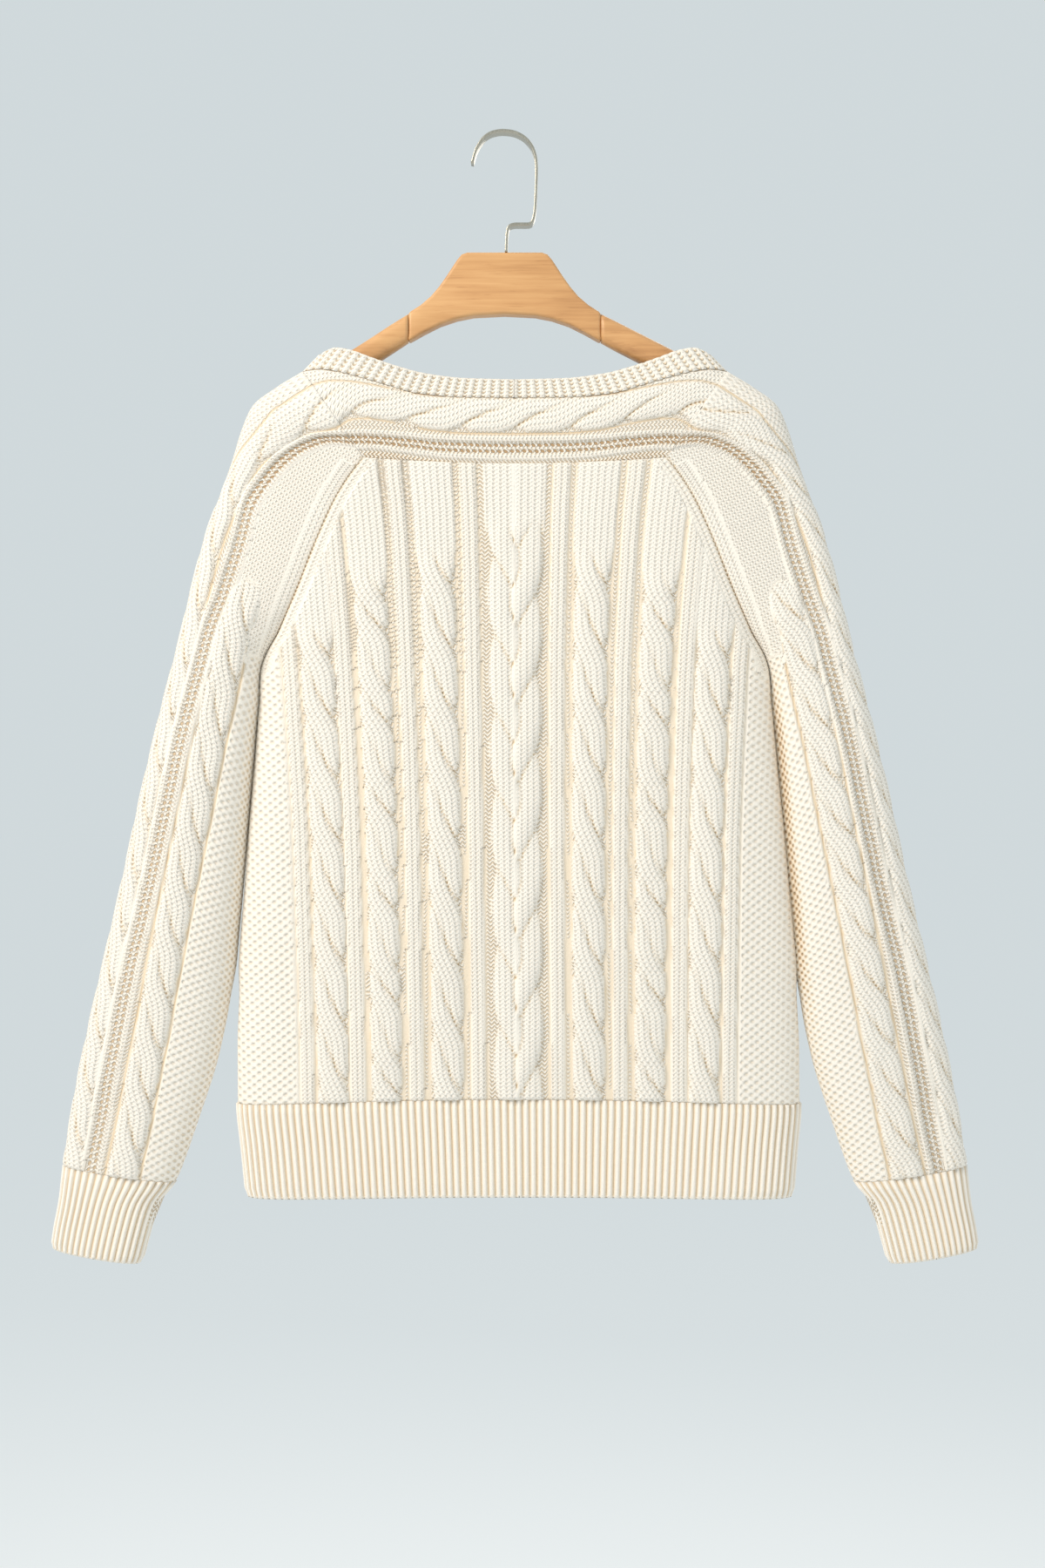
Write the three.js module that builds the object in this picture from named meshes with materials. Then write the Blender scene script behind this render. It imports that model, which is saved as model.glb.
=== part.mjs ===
// A cable knit raglan sweater hanging from a wooden hanger. Millimetres, +Z up.
// The origin is the inside of the hook's top, where the hook rests. The back of the garment faces -Y.
import * as THREE from "three";

// Rows of numbers as objects with the given names.
function table(names, rows) {
  const keys = names.split(" ");
  return rows.map((row) => Object.fromEntries(keys.map((key, i) => [key, row[i]])));
}

// Cloth and seams
const WALL = 3.0; // knit fabric under its raised stitches
const SEAM_GAP = 0.3;
const HALF_GAP = SEAM_GAP / 2;
const LIP_MARGIN = 0.2; // a sleeve is at least this much deeper than its seam
const LEAST_FALL = 0.05; // keeps the surface direction finite where a side edge turns
const GARMENT_X = 8; // the garment hangs this far to one side of the hook
const FRONT_DROP = 25; // the front neckline hangs this much lower than the back one
const SEAM_FADE = 12; // the raised stitches die away over this length beside a seam

// Stitch relief
const ROPE_HEIGHT = 4.2;
const PLAIT_HEIGHT = 4.8;
const RIB_HEIGHT = 1.7;
const STOCKINETTE_HEIGHT = 1.4;
const MOSS_HEIGHT = 0.9;
const LADDER_RIDGE = 1.5;
const FLANK_OUT = 1.4; // a raised column's flank starts this far outside its half width
const FLANK_IN = 0.6; // and ends this far inside it
const STRAND_SHARE = 0.56; // half width of a rope's strand, as a share of the rope's
const ROPE_SWING = 0.5;
const ROPE_DIP = 0.55; // how far the strand that passes under sinks
const PLAIT_STRAND_SHARE = 0.42;
const PLAIT_SWING = 0.62;
const PLAIT_MEAN = 0.78; // height of a plait's strand halfway between over and under
const ROPE_PERIOD = 47; // one crossing of a body rope
const SLEEVE_ROPE_PERIOD = 42;
const PLAIT_PERIOD = 180;
const FIRST_CROSSING_Z = -347;

// Knit lines of the body at mid height, from the centre outwards: distance and width of each column.
const BODY_COLUMNS = [
  { name: "plait", at: 0, half: 19.5, start: -318 },
  { name: "rib", at: 31, half: 5.2 },
  { name: "rope", at: 55, half: 13.4, start: -352 },
  { name: "rib", at: 79.5, half: 5.2 },
  { name: "rope", at: 102.5, half: 12.6, start: -372 },
  { name: "rib", at: 125.5, half: 4.8 },
  { name: "rope", at: 145, half: 12.4, start: -416 },
  { name: "rib", at: 165, half: 4.6 },
];
const MOSS_FROM = 171;
const MOSS_COLUMN = 187;
const CABLE_ABOVE = 22; // a cable grows out of flat knitting from this far above its start
const CABLE_BELOW = 12; // to this far below it
const RIB_SHOULDER = 0.8;
const SIDE_SHARES = [0.96, 0.988, 1];
const PLAIN_SHARES = [0, 0.2, 0.4, 0.6, 0.78, 0.9, 0.96, 0.988, 1];

// The body from the yoke seam to the hem's edge: half width, half depth, spread of the knit lines,
// bow of the rows at the middle, and how far the cloth hangs off to one side.
const BODY = [
  { z: -256, half: 117, depth: 21, fan: 1.19, bow: -4.5, sway: 0 },
  { z: -300, half: 144, depth: 23.5, fan: 1.13, bow: -3, sway: 0 },
  { z: -340, half: 161, depth: 25, fan: 1.095, bow: -1.5, sway: 0 },
  { z: -411, half: 194, depth: 26, fan: 1.05, bow: 0, sway: 0 },
  { z: -450, half: 198.5, depth: 26.5, fan: 1.035, bow: 0, sway: 0.4 },
  { z: -492, half: 202, depth: 26.5, fan: 1.02, bow: 0.6, sway: 0.8 },
  { z: -543, half: 207, depth: 26.5, fan: 1.006, bow: 1.4, sway: 1.2 },
  { z: -591, half: 211, depth: 26.5, fan: 0.998, bow: 2.4, sway: 1.6 },
  { z: -636, half: 215, depth: 26, fan: 0.992, bow: 3.4, sway: 2 },
  { z: -677, half: 217.5, depth: 25.5, fan: 0.987, bow: 4.4, sway: 2.4 },
  { z: -716, half: 219, depth: 25, fan: 0.983, bow: 5.2, sway: 2.7 },
  { z: -756, half: 219, depth: 24, fan: 0.98, bow: 6, sway: 3 },
  { z: -790, half: 216, depth: 22.5, fan: 0.98, bow: 4.5, sway: 3.4 },
  { z: -829, half: 212.5, depth: 21, fan: 0.98, bow: 3, sway: 3.8 },
];
const HEM_SEAM_Z = -756;
const HEM_EDGE_Z = -829;
const BODY_SQUARENESS = 8;
const BODY_ROWS_BELOW = 16;

// Depth of the raglan seam from the garment's mid plane.
const RAGLAN_DEPTH = [
  { z: -256, lip: 21 },
  { z: -300, lip: 22 },
  { z: -340, lip: 21.3 },
  { z: -370, lip: 18.6 },
  { z: -395, lip: 11.5 },
  { z: -411, lip: 5.4 },
  { z: -419, lip: 3.15 },
];
const ARMPIT_Z = -419;
const SIDE_CLOSED_Z = -447; // the side seam's rim has turned face to face by here

// The sleeve from the shoulder to the cuff's edge: the outer and inner line seen from behind, half depth,
// squareness of the section, and distance of each knit line from the outer line.
const SLEEVE = table("outX outZ inX inZ depth square rope ladder inner", [
  [165, -186.5, 117, -256, 21, 3, 39, 68, 110],
  [185.5, -199, 118.5, -258, 21, 3, 39.4, 65, 106],
  [204, -213.5, 121, -261.5, 21.3, 3, 36, 60, 100],
  [212.5, -232, 127.5, -270, 21.7, 2.9, 26, 47.5, 88],
  [220, -256.5, 138.5, -288, 22.5, 2.8, 13, 34.5, 74],
  [228.5, -281, 153, -320, 23.4, 2.7, 9, 27.5, 62],
  [239.5, -311.5, 168, -357.5, 24.5, 2.6, 8, 31, 53],
  [249.5, -348, 182, -388, 25.7, 2.5, 8, 29, 47],
  [259.5, -391, 198, -419, 27, 2.4, 7.5, 24, 44],
  [276, -454, 206, -492, 28, 2.3, 7.5, 24.5, 47],
  [291, -516, 211.5, -555, 28, 2.3, 8, 26, 49],
  [305, -580, 217, -616, 28, 2.2, 8, 25.5, 49],
  [318, -637, 222, -667, 26.5, 2.2, 8, 24.5, 50],
  [331.5, -695, 232, -719, 24, 2.2, 8, 25.5, 52],
  [342.5, -748, 247, -767, 21, 2.2, 8, 26, 52],
  [351.5, -804, 265.5, -817, 18, 2.2, 8, 24, 49],
  [354.5, -831, 278.5, -834, 16.5, 2.2, 8, 24, 49],
  [358.5, -852, 286.5, -860, 15.5, 2.2, 8, 24, 49],
  [361, -869, 292, -881, 15, 2.2, 8, 24, 49],
]);
const SLEEVE_TURN_RATE = 0.11; // how fast the top sections wrap round behind the raglan corner
const SLEEVE_TURN_ROWS = 5;
const ARMPIT_ROW = 8;
const CUFF_SEAM_ROW = 15;
const CUFF_EDGE_ROW = 18;
const RAGLAN_ROWS = [0, 1, 2, 3, 4, 4.7, 5.4, 6.1, 6.8, 7.4, 8];
const CLOSE_ROWS = 5; // rows over the hanger that the plain inside keeps; below them it keeps every second
const SLEEVE_ROWS_BELOW = 15;
const SIDE_CLOSED_ROW = 8.4;
const SLEEVE_ROPE_HALF = 10;
const LADDER_HALF = 7;
const LADDER_RIDGE_HALF = 1.4;
const INNER_ROPE_HALF = 12.5;
const INNER_ROPE_START_ROW = 6.8;
const SLEEVE_ROPE_SHARE = 0.85; // height of the outer rope against a body rope's
const LEAST_COLUMN = 1.4; // least distance between two columns of points
const SEAM_COLUMNS = 2; // columns between the inner rope and the seam
const CORNER_SHARES = [0.2, 0.5]; // columns on the curve between the outer line and the outer rope
const SLEEVE_PLAIN_SHARES = [0, 0.05, 0.12, 0.25, 0.45, 0.65, 0.85, 0.95, 1];

// The neckband: height of its seam and of its upper edge across the back, in shares of its half length.
const NECK_SEAM_HALF = 165;
const NECK_TOP_HALF = 151;
const NECK_SEAM_DEPTH = 18.5;
const NECK_TOP_DEPTH = 16.5;
const NECK_SQUARENESS = 8;
const NECK_GAP = 0.3; // each side of the neck seam, which curves between its points
const NECK_LINES = [
  { share: 0, seam: -209.7, top: -195 },
  { share: 0.25, seam: -209.2, top: -194 },
  { share: 0.45, seam: -206.4, top: -190.5 },
  { share: 0.6, seam: -199.8, top: -184.7 },
  { share: 0.74, seam: -193, top: -177.4 },
  { share: 0.85, seam: -188.3, top: -171.3 },
  { share: 0.93, seam: -186.3, top: -169.2 },
  { share: 1, seam: -186.5, top: -172.5 },
];
const NECK_RIBS = 100;
const NECK_RIB_HEIGHT = 1.3;
const YOKE_ROPE_AT = 0.262;
const YOKE_LADDER_AT = 0.774;
const YOKE_PLAIN_ROWS = [0, 1, 2, 4, 6, 9];
const YOKE_ROWS = [0, 0.07, 0.16, 0.262, 0.364, 0.46, 0.64, 0.774, 0.91, 1];
const YOKE_EVEN_COLUMNS = 10; // columns across half the yoke before they close up towards the shoulder
const YOKE_EVEN_STEP = 0.065;
const YOKE_END_SHARES = [0.72, 0.79, 0.86, 0.93, 0.97, 1];
const YOKE_PLAIN_SHARES = [0, 0.13, 0.26, 0.39, 0.455, 0.52, 0.585, 0.65, 0.78, 0.9, 0.96, 1];

// Hem and cuff ribs
const HEM_RIBS = 166;
const HEM_RIB_HEIGHT = 1.4;
const HEM_PLAIN_COLUMNS = 83;
const NECK_PLAIN_COLUMNS = 60;
const CUFF_RIBS = 35;
const CUFF_RIB_HEIGHT = 1.2;
const CUFF_PLAIN_COLUMNS = 28;

// The hanger: a strip hook, a middle block and two arms glued to it.
const HOOK_HALF_THICK = 1.1;
const HOOK_HALF_DEPTH = 5.5;
const HOOK_PATH = [
  { x: -25.2, z: -23.7 },
  { x: -22.8, z: -15.1 },
  { x: -19.7, z: -9 },
  { x: -15.3, z: -3.5 },
  { x: -8.8, z: 0 },
  { x: -1.7, z: 1.1 },
  { x: 5.1, z: 0.5 },
  { x: 13.1, z: -2.6 },
  { x: 18.6, z: -7.3 },
  { x: 22.4, z: -13.6 },
  { x: 24.4, z: -21.4 },
  { x: 24.8, z: -28.4 },
  { x: 24.4, z: -44 },
  { x: 23.6, z: -59.6 },
  { x: 22.6, z: -66.5 },
  { x: 20.9, z: -70.6 },
  { x: 18.2, z: -71.7 },
  { x: 8.8, z: -71.7 },
  { x: 4.6, z: -72.6 },
  { x: 2.4, z: -75.6 },
  { x: 1.5, z: -83.1 },
  { x: 1.2, z: -93.4 },
];
const BLOCK_HALF_THICK = 7;
const BLOCK_BEVEL = 2;
const BLOCK_OUTLINE = [
  { x: 0, z: -93.9 },
  { x: 29, z: -93.9 },
  { x: 33.4, z: -95.4 },
  { x: 37, z: -99.6 },
  { x: 45, z: -111.8 },
  { x: 51, z: -120.4 },
  { x: 57.5, z: -128 },
  { x: 65.5, z: -134.9 },
  { x: 75, z: -140.8 },
  { x: 75, z: -163.3 },
  { x: 62, z: -156 },
  { x: 50, z: -150 },
  { x: 37, z: -145.6 },
  { x: 24, z: -143 },
  { x: 0, z: -141.8 },
];
const ARM_SQUARENESS = 2.7;
const ARM_CORNERS = 14;
const LEFT_ARM = [
  { x: 75.3, top: -141, height: 22.3, half: 7 },
  { x: 88, top: -149, height: 22.8, half: 7.6 },
  { x: 104, top: -159.6, height: 22.6, half: 8.6 },
  { x: 122.7, top: -171.6, height: 22, half: 9.3 },
  { x: 140, top: -182.8, height: 21, half: 8.8 },
  { x: 155.4, top: -192.2, height: 19, half: 8.2 },
  { x: 168, top: -198.4, height: 18.6, half: 9 },
  { x: 178, top: -204.4, height: 16.6, half: 8.6 },
  { x: 186, top: -211, height: 13, half: 7.6 },
  { x: 190.4, top: -216.4, height: 7.6, half: 5 },
  { x: 191.8, top: -219, height: 3.4, half: 2.4 },
];
const RIGHT_ARM = [
  { x: 75.3, top: -141, height: 22.3, half: 7 },
  { x: 88, top: -147.4, height: 23, half: 7.6 },
  { x: 104, top: -155.6, height: 23, half: 8.6 },
  { x: 128.8, top: -168.3, height: 22, half: 9.3 },
  { x: 150, top: -179.6, height: 21, half: 8.8 },
  { x: 171.4, top: -190.7, height: 19.6, half: 8.2 },
  { x: 184, top: -197.6, height: 18.6, half: 9 },
  { x: 194, top: -204.4, height: 16.6, half: 8.6 },
  { x: 202, top: -211, height: 13, half: 7.6 },
  { x: 206.4, top: -216.4, height: 7.6, half: 5 },
  { x: 207.8, top: -219, height: 3.4, half: 2.4 },
];

// Finishes
const WOOL = { color: 0xf1e9db, roughness: 0.95, metalness: 0 };
const WOOD = { color: 0xe0a76d, roughness: 0.5, metalness: 0 };
const NICKEL = { color: 0xb5ae9a, roughness: 0.32, metalness: 0.95 };

// Small helpers

const clamp = (v, lo, hi) => Math.min(hi, Math.max(lo, v));
const mix = (a, b, t) => a + (b - a) * t;
const smooth = (lo, hi, v) => {
  const t = clamp((v - lo) / (hi - lo), 0, 1);
  return t * t * (3 - 2 * t);
};

// A smooth line through the rows of a table that never runs past them.
function through(rows, key, value) {
  const xs = rows.map((r) => r[key]);
  const ys = rows.map((r) => r[value]);
  const rising = xs[xs.length - 1] > xs[0];
  if (!rising) {
    xs.reverse();
    ys.reverse();
  }
  const steps = xs.slice(1).map((x, i) => (ys[i + 1] - ys[i]) / (x - xs[i]));
  const slopes = xs.map((_, i) => {
    if (i === 0) return steps[0];
    if (i === xs.length - 1) return steps[i - 1];
    const product = steps[i - 1] * steps[i];
    return product <= 0 ? 0 : (2 * product) / (steps[i - 1] + steps[i]);
  });
  return (x) => {
    const at = clamp(x, xs[0], xs[xs.length - 1]);
    let i = 0;
    while (i < xs.length - 2 && at > xs[i + 1]) i += 1;
    const span = xs[i + 1] - xs[i];
    const t = (at - xs[i]) / span;
    const a = ys[i] * (1 + 2 * t) * (1 - t) ** 2 + ys[i + 1] * t * t * (3 - 2 * t);
    return a + span * t * (1 - t) * (slopes[i] * (1 - t) - slopes[i + 1] * t);
  };
}

// The rows of a table as smooth functions of the row number.
function byRow(rows) {
  const numbered = rows.map((r, i) => ({ ...r, row: i }));
  const names = Object.keys(rows[0]);
  return Object.fromEntries(names.map((n) => [n, through(numbered, "row", n)]));
}

// Triangles of a strip between two lines of points, each with a key that grows along the line.
function strip(a, b, faces) {
  let i = 0;
  let j = 0;
  while (i < a.length - 1 || j < b.length - 1) {
    const nextA = i < a.length - 1 ? a[i + 1].key : Infinity;
    const nextB = j < b.length - 1 ? b[j + 1].key : Infinity;
    const stepA = nextA === nextB ? i <= j : nextA < nextB;
    if (stepA) {
      faces.push(a[i].at, a[i + 1].at, b[j].at);
      i += 1;
    } else {
      faces.push(a[i].at, b[j + 1].at, b[j].at);
      j += 1;
    }
  }
}

function quad(a, b, c, d, faces) {
  faces.push(a.at, b.at, c.at, a.at, c.at, d.at);
}

// A wall of cloth: rows of points outside and inside, closed round its rims.
// A ring's rows end where they start.
function wall(outside, inside, isRing) {
  const faces = [];
  const last = outside.length - 1;
  const lastIn = inside.length - 1;
  for (let k = 0; k < last; k += 1) strip(outside[k], outside[k + 1], faces);
  for (let k = 0; k < lastIn; k += 1) strip(inside[k + 1], inside[k], faces);
  strip(inside[0], outside[0], faces);
  strip(outside[last], inside[lastIn], faces);
  if (!isRing) {
    const edge = (rows, end) => rows.map((r) => ({ at: r[end ? r.length - 1 : 0].at, key: r.level }));
    strip(edge(outside, false), edge(inside, false), faces);
    strip(edge(inside, true), edge(outside, true), faces);
  }
  return faces;
}

function meshOf(name, faces, finish) {
  const data = new Float32Array(faces.length * 3);
  faces.forEach((p, i) => data.set([p.x, p.y, p.z], i * 3));
  let volume = 0;
  for (let i = 0; i < faces.length; i += 3) {
    volume += faces[i].dot(new THREE.Vector3().crossVectors(faces[i + 1], faces[i + 2]));
  }
  const geometry = new THREE.BufferGeometry();
  if (volume < 0) {
    faces.forEach((p, i) => data.set([p.x, p.y, p.z], (i + 2 - 2 * (i % 3)) * 3));
  }
  geometry.setAttribute("position", new THREE.BufferAttribute(data, 3));
  geometry.computeVertexNormals();
  const mesh = new THREE.Mesh(geometry, new THREE.MeshStandardMaterial(finish));
  mesh.name = name;
  return mesh;
}

// Stitch relief

// Rounded strand across its half width.
const strand = (offset, half) => Math.sqrt(Math.max(0, 1 - (offset / half) ** 2));

// A rope of two strands: the one that goes over moves the way of the hand.
function rope(across, along, half, height, hand) {
  const turn = along - Math.floor(along);
  const swing = hand * ROPE_SWING * half * Math.cos(Math.PI * turn);
  const over = strand(across + swing, half * STRAND_SHARE);
  const under = strand(across - swing, half * STRAND_SHARE) * (1 - ROPE_DIP * Math.sin(Math.PI * turn));
  return height * Math.max(over, under);
}

// A plait of three strands, each of which passes over as it comes in from a side.
function plait(across, along, half, height) {
  let best = 0;
  for (let k = 0; k < 3; k += 1) {
    const turn = 2 * Math.PI * (along + k / 3);
    const lift = PLAIT_MEAN - (1 - PLAIT_MEAN) * Math.sin(2 * turn);
    const offset = across - PLAIT_SWING * half * Math.sin(turn);
    best = Math.max(best, lift * strand(offset, half * PLAIT_STRAND_SHARE));
  }
  return height * best;
}

const plateau = (across, half) => smooth(half + FLANK_OUT, half - FLANK_IN, Math.abs(across));

// Height of the body's stitches over its valleys, by knit line and height.
function bodyRelief(line, z) {
  const at = Math.abs(line);
  if (at > MOSS_FROM) return MOSS_HEIGHT * smooth(MOSS_FROM, MOSS_FROM + 3, at);
  let height = 0;
  for (const column of BODY_COLUMNS) {
    const across = column.at === 0 ? line : at - column.at;
    if (Math.abs(across) > column.half + FLANK_OUT) continue;
    if (column.name === "rib") {
      height = Math.max(height, RIB_HEIGHT * plateau(across, column.half));
      continue;
    }
    const flat = STOCKINETTE_HEIGHT * plateau(across, column.half);
    const begun = smooth(column.start + CABLE_ABOVE, column.start - CABLE_BELOW, z);
    const signed = column.at === 0 ? across : across * Math.sign(line);
    const along = (FIRST_CROSSING_Z - z) / ROPE_PERIOD;
    const cable =
      column.name === "plait"
        ? plait(signed, (FIRST_CROSSING_Z - z) / PLAIT_PERIOD, column.half, PLAIT_HEIGHT)
        : rope(signed, along, column.half, ROPE_HEIGHT, 1);
    height = Math.max(height, mix(flat, cable, begun));
  }
  return height;
}

// Rows that the plain inside of a panel or sleeve keeps.
function isPlainRow(index, count) {
  if (index < CLOSE_ROWS) return true;
  if (index < RAGLAN_ROWS.length + 2) return index % 2 === 0;
  return (count - 1 - index) % 3 === 0;
}

// The body

const body = Object.fromEntries(
  ["half", "depth", "fan", "bow", "sway"].map((name) => [name, through(BODY, "z", name)]),
);
const raglanDepth = through(RAGLAN_DEPTH, "z", "lip");

// Turn of a side seam's rim, from facing out at the armpit to face to face below it.
const rimTurn = (z) => (Math.PI / 2) * smooth(ARMPIT_Z, SIDE_CLOSED_Z, z);
const sideLip = (z) => (z >= ARMPIT_Z ? raglanDepth(z) : HALF_GAP + WALL * Math.cos(rimTurn(z)));

// A point of the body's face on one side (-1 back, +1 front) at a share of its half width.
function bodyPoint(row, share, side) {
  const u = clamp(share, -1, 1);
  const fall = Math.sqrt(Math.max(0, 1 - Math.abs(u) ** BODY_SQUARENESS));
  const y = side * (row.lip + (row.depth - row.lip) * fall);
  const z = row.z + row.bow * (1 - u * u);
  const at = new THREE.Vector3(row.sway + u * row.half, y, z);
  const bend = (row.depth - row.lip) * BODY_SQUARENESS * Math.abs(u) ** (BODY_SQUARENESS - 1);
  const slope = bend / (2 * row.half * Math.max(fall, LEAST_FALL));
  const normal = new THREE.Vector3(Math.sign(u) * slope, side, 0).normalize();
  if (Math.abs(u) === 1) normal.set(Math.sign(u) * Math.sin(row.rim), side * Math.cos(row.rim), 0);
  return { at, normal };
}

const sleeve = byRow(SLEEVE);
const pointOf = (row, which) => ({ x: sleeve[which + "X"](row), z: sleeve[which + "Z"](row) });

// Unit direction across a seam line of the sleeve table, away from the garment's middle.
function acrossSeam(row) {
  const a = pointOf(Math.max(0, row - 0.25), "in");
  const b = pointOf(Math.min(ARMPIT_ROW, row + 0.25), "in");
  const length = Math.hypot(b.x - a.x, b.z - a.z);
  return { x: -(b.z - a.z) / length, z: (b.x - a.x) / length };
}

function bodyRow(z, half, drop) {
  return {
    z,
    half,
    depth: body.depth(z),
    fan: body.fan(z),
    sway: body.sway(z),
    bow: body.bow(z) - drop * smooth(ARMPIT_Z, BODY[0].z, z),
    lip: sideLip(z),
    rim: rimTurn(z),
  };
}

function bodyRows(drop) {
  const rows = RAGLAN_ROWS.map((r, i) => {
    const seam = pointOf(r, "in");
    const away = acrossSeam(r);
    const row = bodyRow(seam.z, seam.x, drop);
    row.half -= HALF_GAP * away.x;
    row.z -= HALF_GAP * (i === 0 ? 1 : away.z);
    return row;
  });
  const from = rows[rows.length - 1].z;
  for (let k = 1; k <= BODY_ROWS_BELOW; k += 1) {
    const z = mix(from, HEM_SEAM_Z + HALF_GAP, k / BODY_ROWS_BELOW);
    rows.push(bodyRow(z, body.half(z), drop));
  }
  return rows;
}

// Knit lines where the outside gets a column of points: the middle and flanks of each raised column.
function bodyLines() {
  const third = BODY_COLUMNS[0].half / 3;
  const half = [0, third, 2 * third];
  BODY_COLUMNS.forEach((column, i) => {
    const before = BODY_COLUMNS[i - 1];
    if (before) half.push(mix(before.at + before.half, column.at - column.half, 0.5));
    const shoulder = column.half - RIB_SHOULDER;
    if (column.name === "rib") half.push(column.at - shoulder, column.at + shoulder);
    const quarter = column.half / 2;
    if (column.name === "rope") half.push(column.at - quarter, column.at, column.at + quarter);
  });
  half.push(MOSS_FROM, MOSS_COLUMN);
  return [...half.slice(1).map((v) => -v).reverse(), ...half];
}

const bothWays = (shares) => [...shares.filter((v) => v > 0).map((v) => -v).reverse(), ...shares];

function panel(side) {
  const drop = side > 0 ? FRONT_DROP : 0;
  const rows = bodyRows(drop);
  const lines = bodyLines();
  const topZ = rows[0].z;
  const outside = rows.map((row, index) => {
    const shares = lines.map((line) => (line * row.fan) / row.half);
    const inner = shares.filter((u) => Math.abs(u) < SIDE_SHARES[0] - 0.01);
    const all = [...SIDE_SHARES.map((v) => -v).reverse(), ...inner, ...SIDE_SHARES];
    const line = all.map((u) => {
      const point = bodyPoint(row, u, side);
      const knit = (u * row.half) / row.fan;
      const fromSide = (1 - Math.abs(u)) * row.half;
      const fromTop = topZ - row.z;
      const fromHem = row.z - HEM_SEAM_Z;
      const clear = [fromSide, fromTop, fromHem].map((v) => smooth(0, SEAM_FADE, v));
      const fade = clear[0] * clear[1] * clear[2];
      const raised = bodyRelief(side < 0 ? knit : -knit, point.at.z) * fade;
      return { at: point.at.addScaledVector(point.normal, raised), key: knit };
    });
    line.level = index;
    return line;
  });
  const inside = rows
    .map((row, index) => ({ row, index }))
    .filter(({ index }) => isPlainRow(index, rows.length))
    .map(({ row, index }) => {
      const line = bothWays(PLAIN_SHARES).map((u) => {
        const point = bodyPoint(row, u, side);
        return { at: point.at.addScaledVector(point.normal, -WALL), key: (u * row.half) / row.fan };
      });
      line.level = index;
      return line;
    });
  return wall(outside, inside, false);
}

// The sleeves

function sleeveSection(row) {
  const out = pointOf(row, "out");
  const inn = pointOf(row, "in");
  const span = Math.hypot(inn.x - out.x, inn.z - out.z);
  const across = { x: (inn.x - out.x) / span, z: (inn.z - out.z) / span };
  const square = sleeve.square(row);
  const rim = (Math.PI / 2) * smooth(ARMPIT_ROW, SIDE_CLOSED_ROW, row);
  const lip = row <= ARMPIT_ROW ? raglanDepth(inn.z) : HALF_GAP + WALL * Math.cos(rim);
  let turn = SLEEVE_TURN_RATE * row;
  let depth = Math.max(sleeve.depth(row), lip + LIP_MARGIN);
  if (row < SLEEVE_TURN_ROWS) depth = lip / (1 - turn ** square) ** (1 / square);
  else turn = (1 - (lip / depth) ** square) ** (1 / square);
  return { row, out, across, span, square, rim, depth, turn, reach: span / (1 + turn) };
}

// A point of a sleeve section: c runs from 1 on the outer line to -turn on the inner one.
function sleevePoint(section, c, side) {
  const { out, across, square, depth, reach } = section;
  const lift = Math.max(0, 1 - Math.abs(c) ** square) ** (1 / square);
  const run = reach * (1 - c);
  const at = new THREE.Vector3(out.x + across.x * run, side * depth * lift, out.z + across.z * run);
  const inPlane = (Math.sign(c) * Math.abs(c) ** (square - 1)) / reach;
  const inDepth = (side * lift ** (square - 1)) / depth;
  const normal = new THREE.Vector3(-across.x * inPlane, inDepth, -across.z * inPlane).normalize();
  return { at, normal };
}

function seamNormal(section, side) {
  const flat = Math.sin(section.rim);
  return new THREE.Vector3(section.across.x * flat, side * Math.cos(section.rim), section.across.z * flat);
}

// Arc lengths along one side of a section, from the outer line to the inner seam.
function arcOf(section, steps = 160) {
  const lastC = -section.turn;
  const lastAngle = Math.acos(-(section.turn ** (section.square / 2)));
  const table = [];
  let length = 0;
  let before = null;
  for (let i = 0; i <= steps; i += 1) {
    const cosine = Math.cos((lastAngle * i) / steps);
    const c = i === steps ? lastC : Math.sign(cosine) * Math.abs(cosine) ** (2 / section.square);
    const { at } = sleevePoint(section, c, -1);
    if (before) length += at.distanceTo(before);
    before = at;
    table.push({ c, length });
  }
  const find = (wanted, from, to) => {
    let i = 0;
    const rising = table[table.length - 1][from] > table[0][from];
    const past = (v) => (rising ? v >= wanted : v <= wanted);
    while (i < table.length - 2 && !past(table[i + 1][from])) i += 1;
    const a = table[i];
    const b = table[i + 1];
    return mix(a[to], b[to], clamp((wanted - a[from]) / (b[from] - a[from] || 1), 0, 1));
  };
  return {
    total: length,
    toC: (arc) => (arc >= length ? lastC : arc <= 0 ? 1 : find(arc, "length", "c")),
    toArc: (run) => find(1 - run / section.reach, "c", "length"),
  };
}

// Length along the sleeve's outer line to a row of its table.
const sleeveLength = (() => {
  const table = [{ row: 0, length: 0 }];
  for (let i = 1; i <= CUFF_SEAM_ROW * 4; i += 1) {
    const before = table[table.length - 1];
    const row = i / 4;
    const a = pointOf(before.row, "out");
    const b = pointOf(row, "out");
    table.push({ row, length: before.length + Math.hypot(b.x - a.x, b.z - a.z) });
  }
  return through(table, "row", "length");
})();

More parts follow.
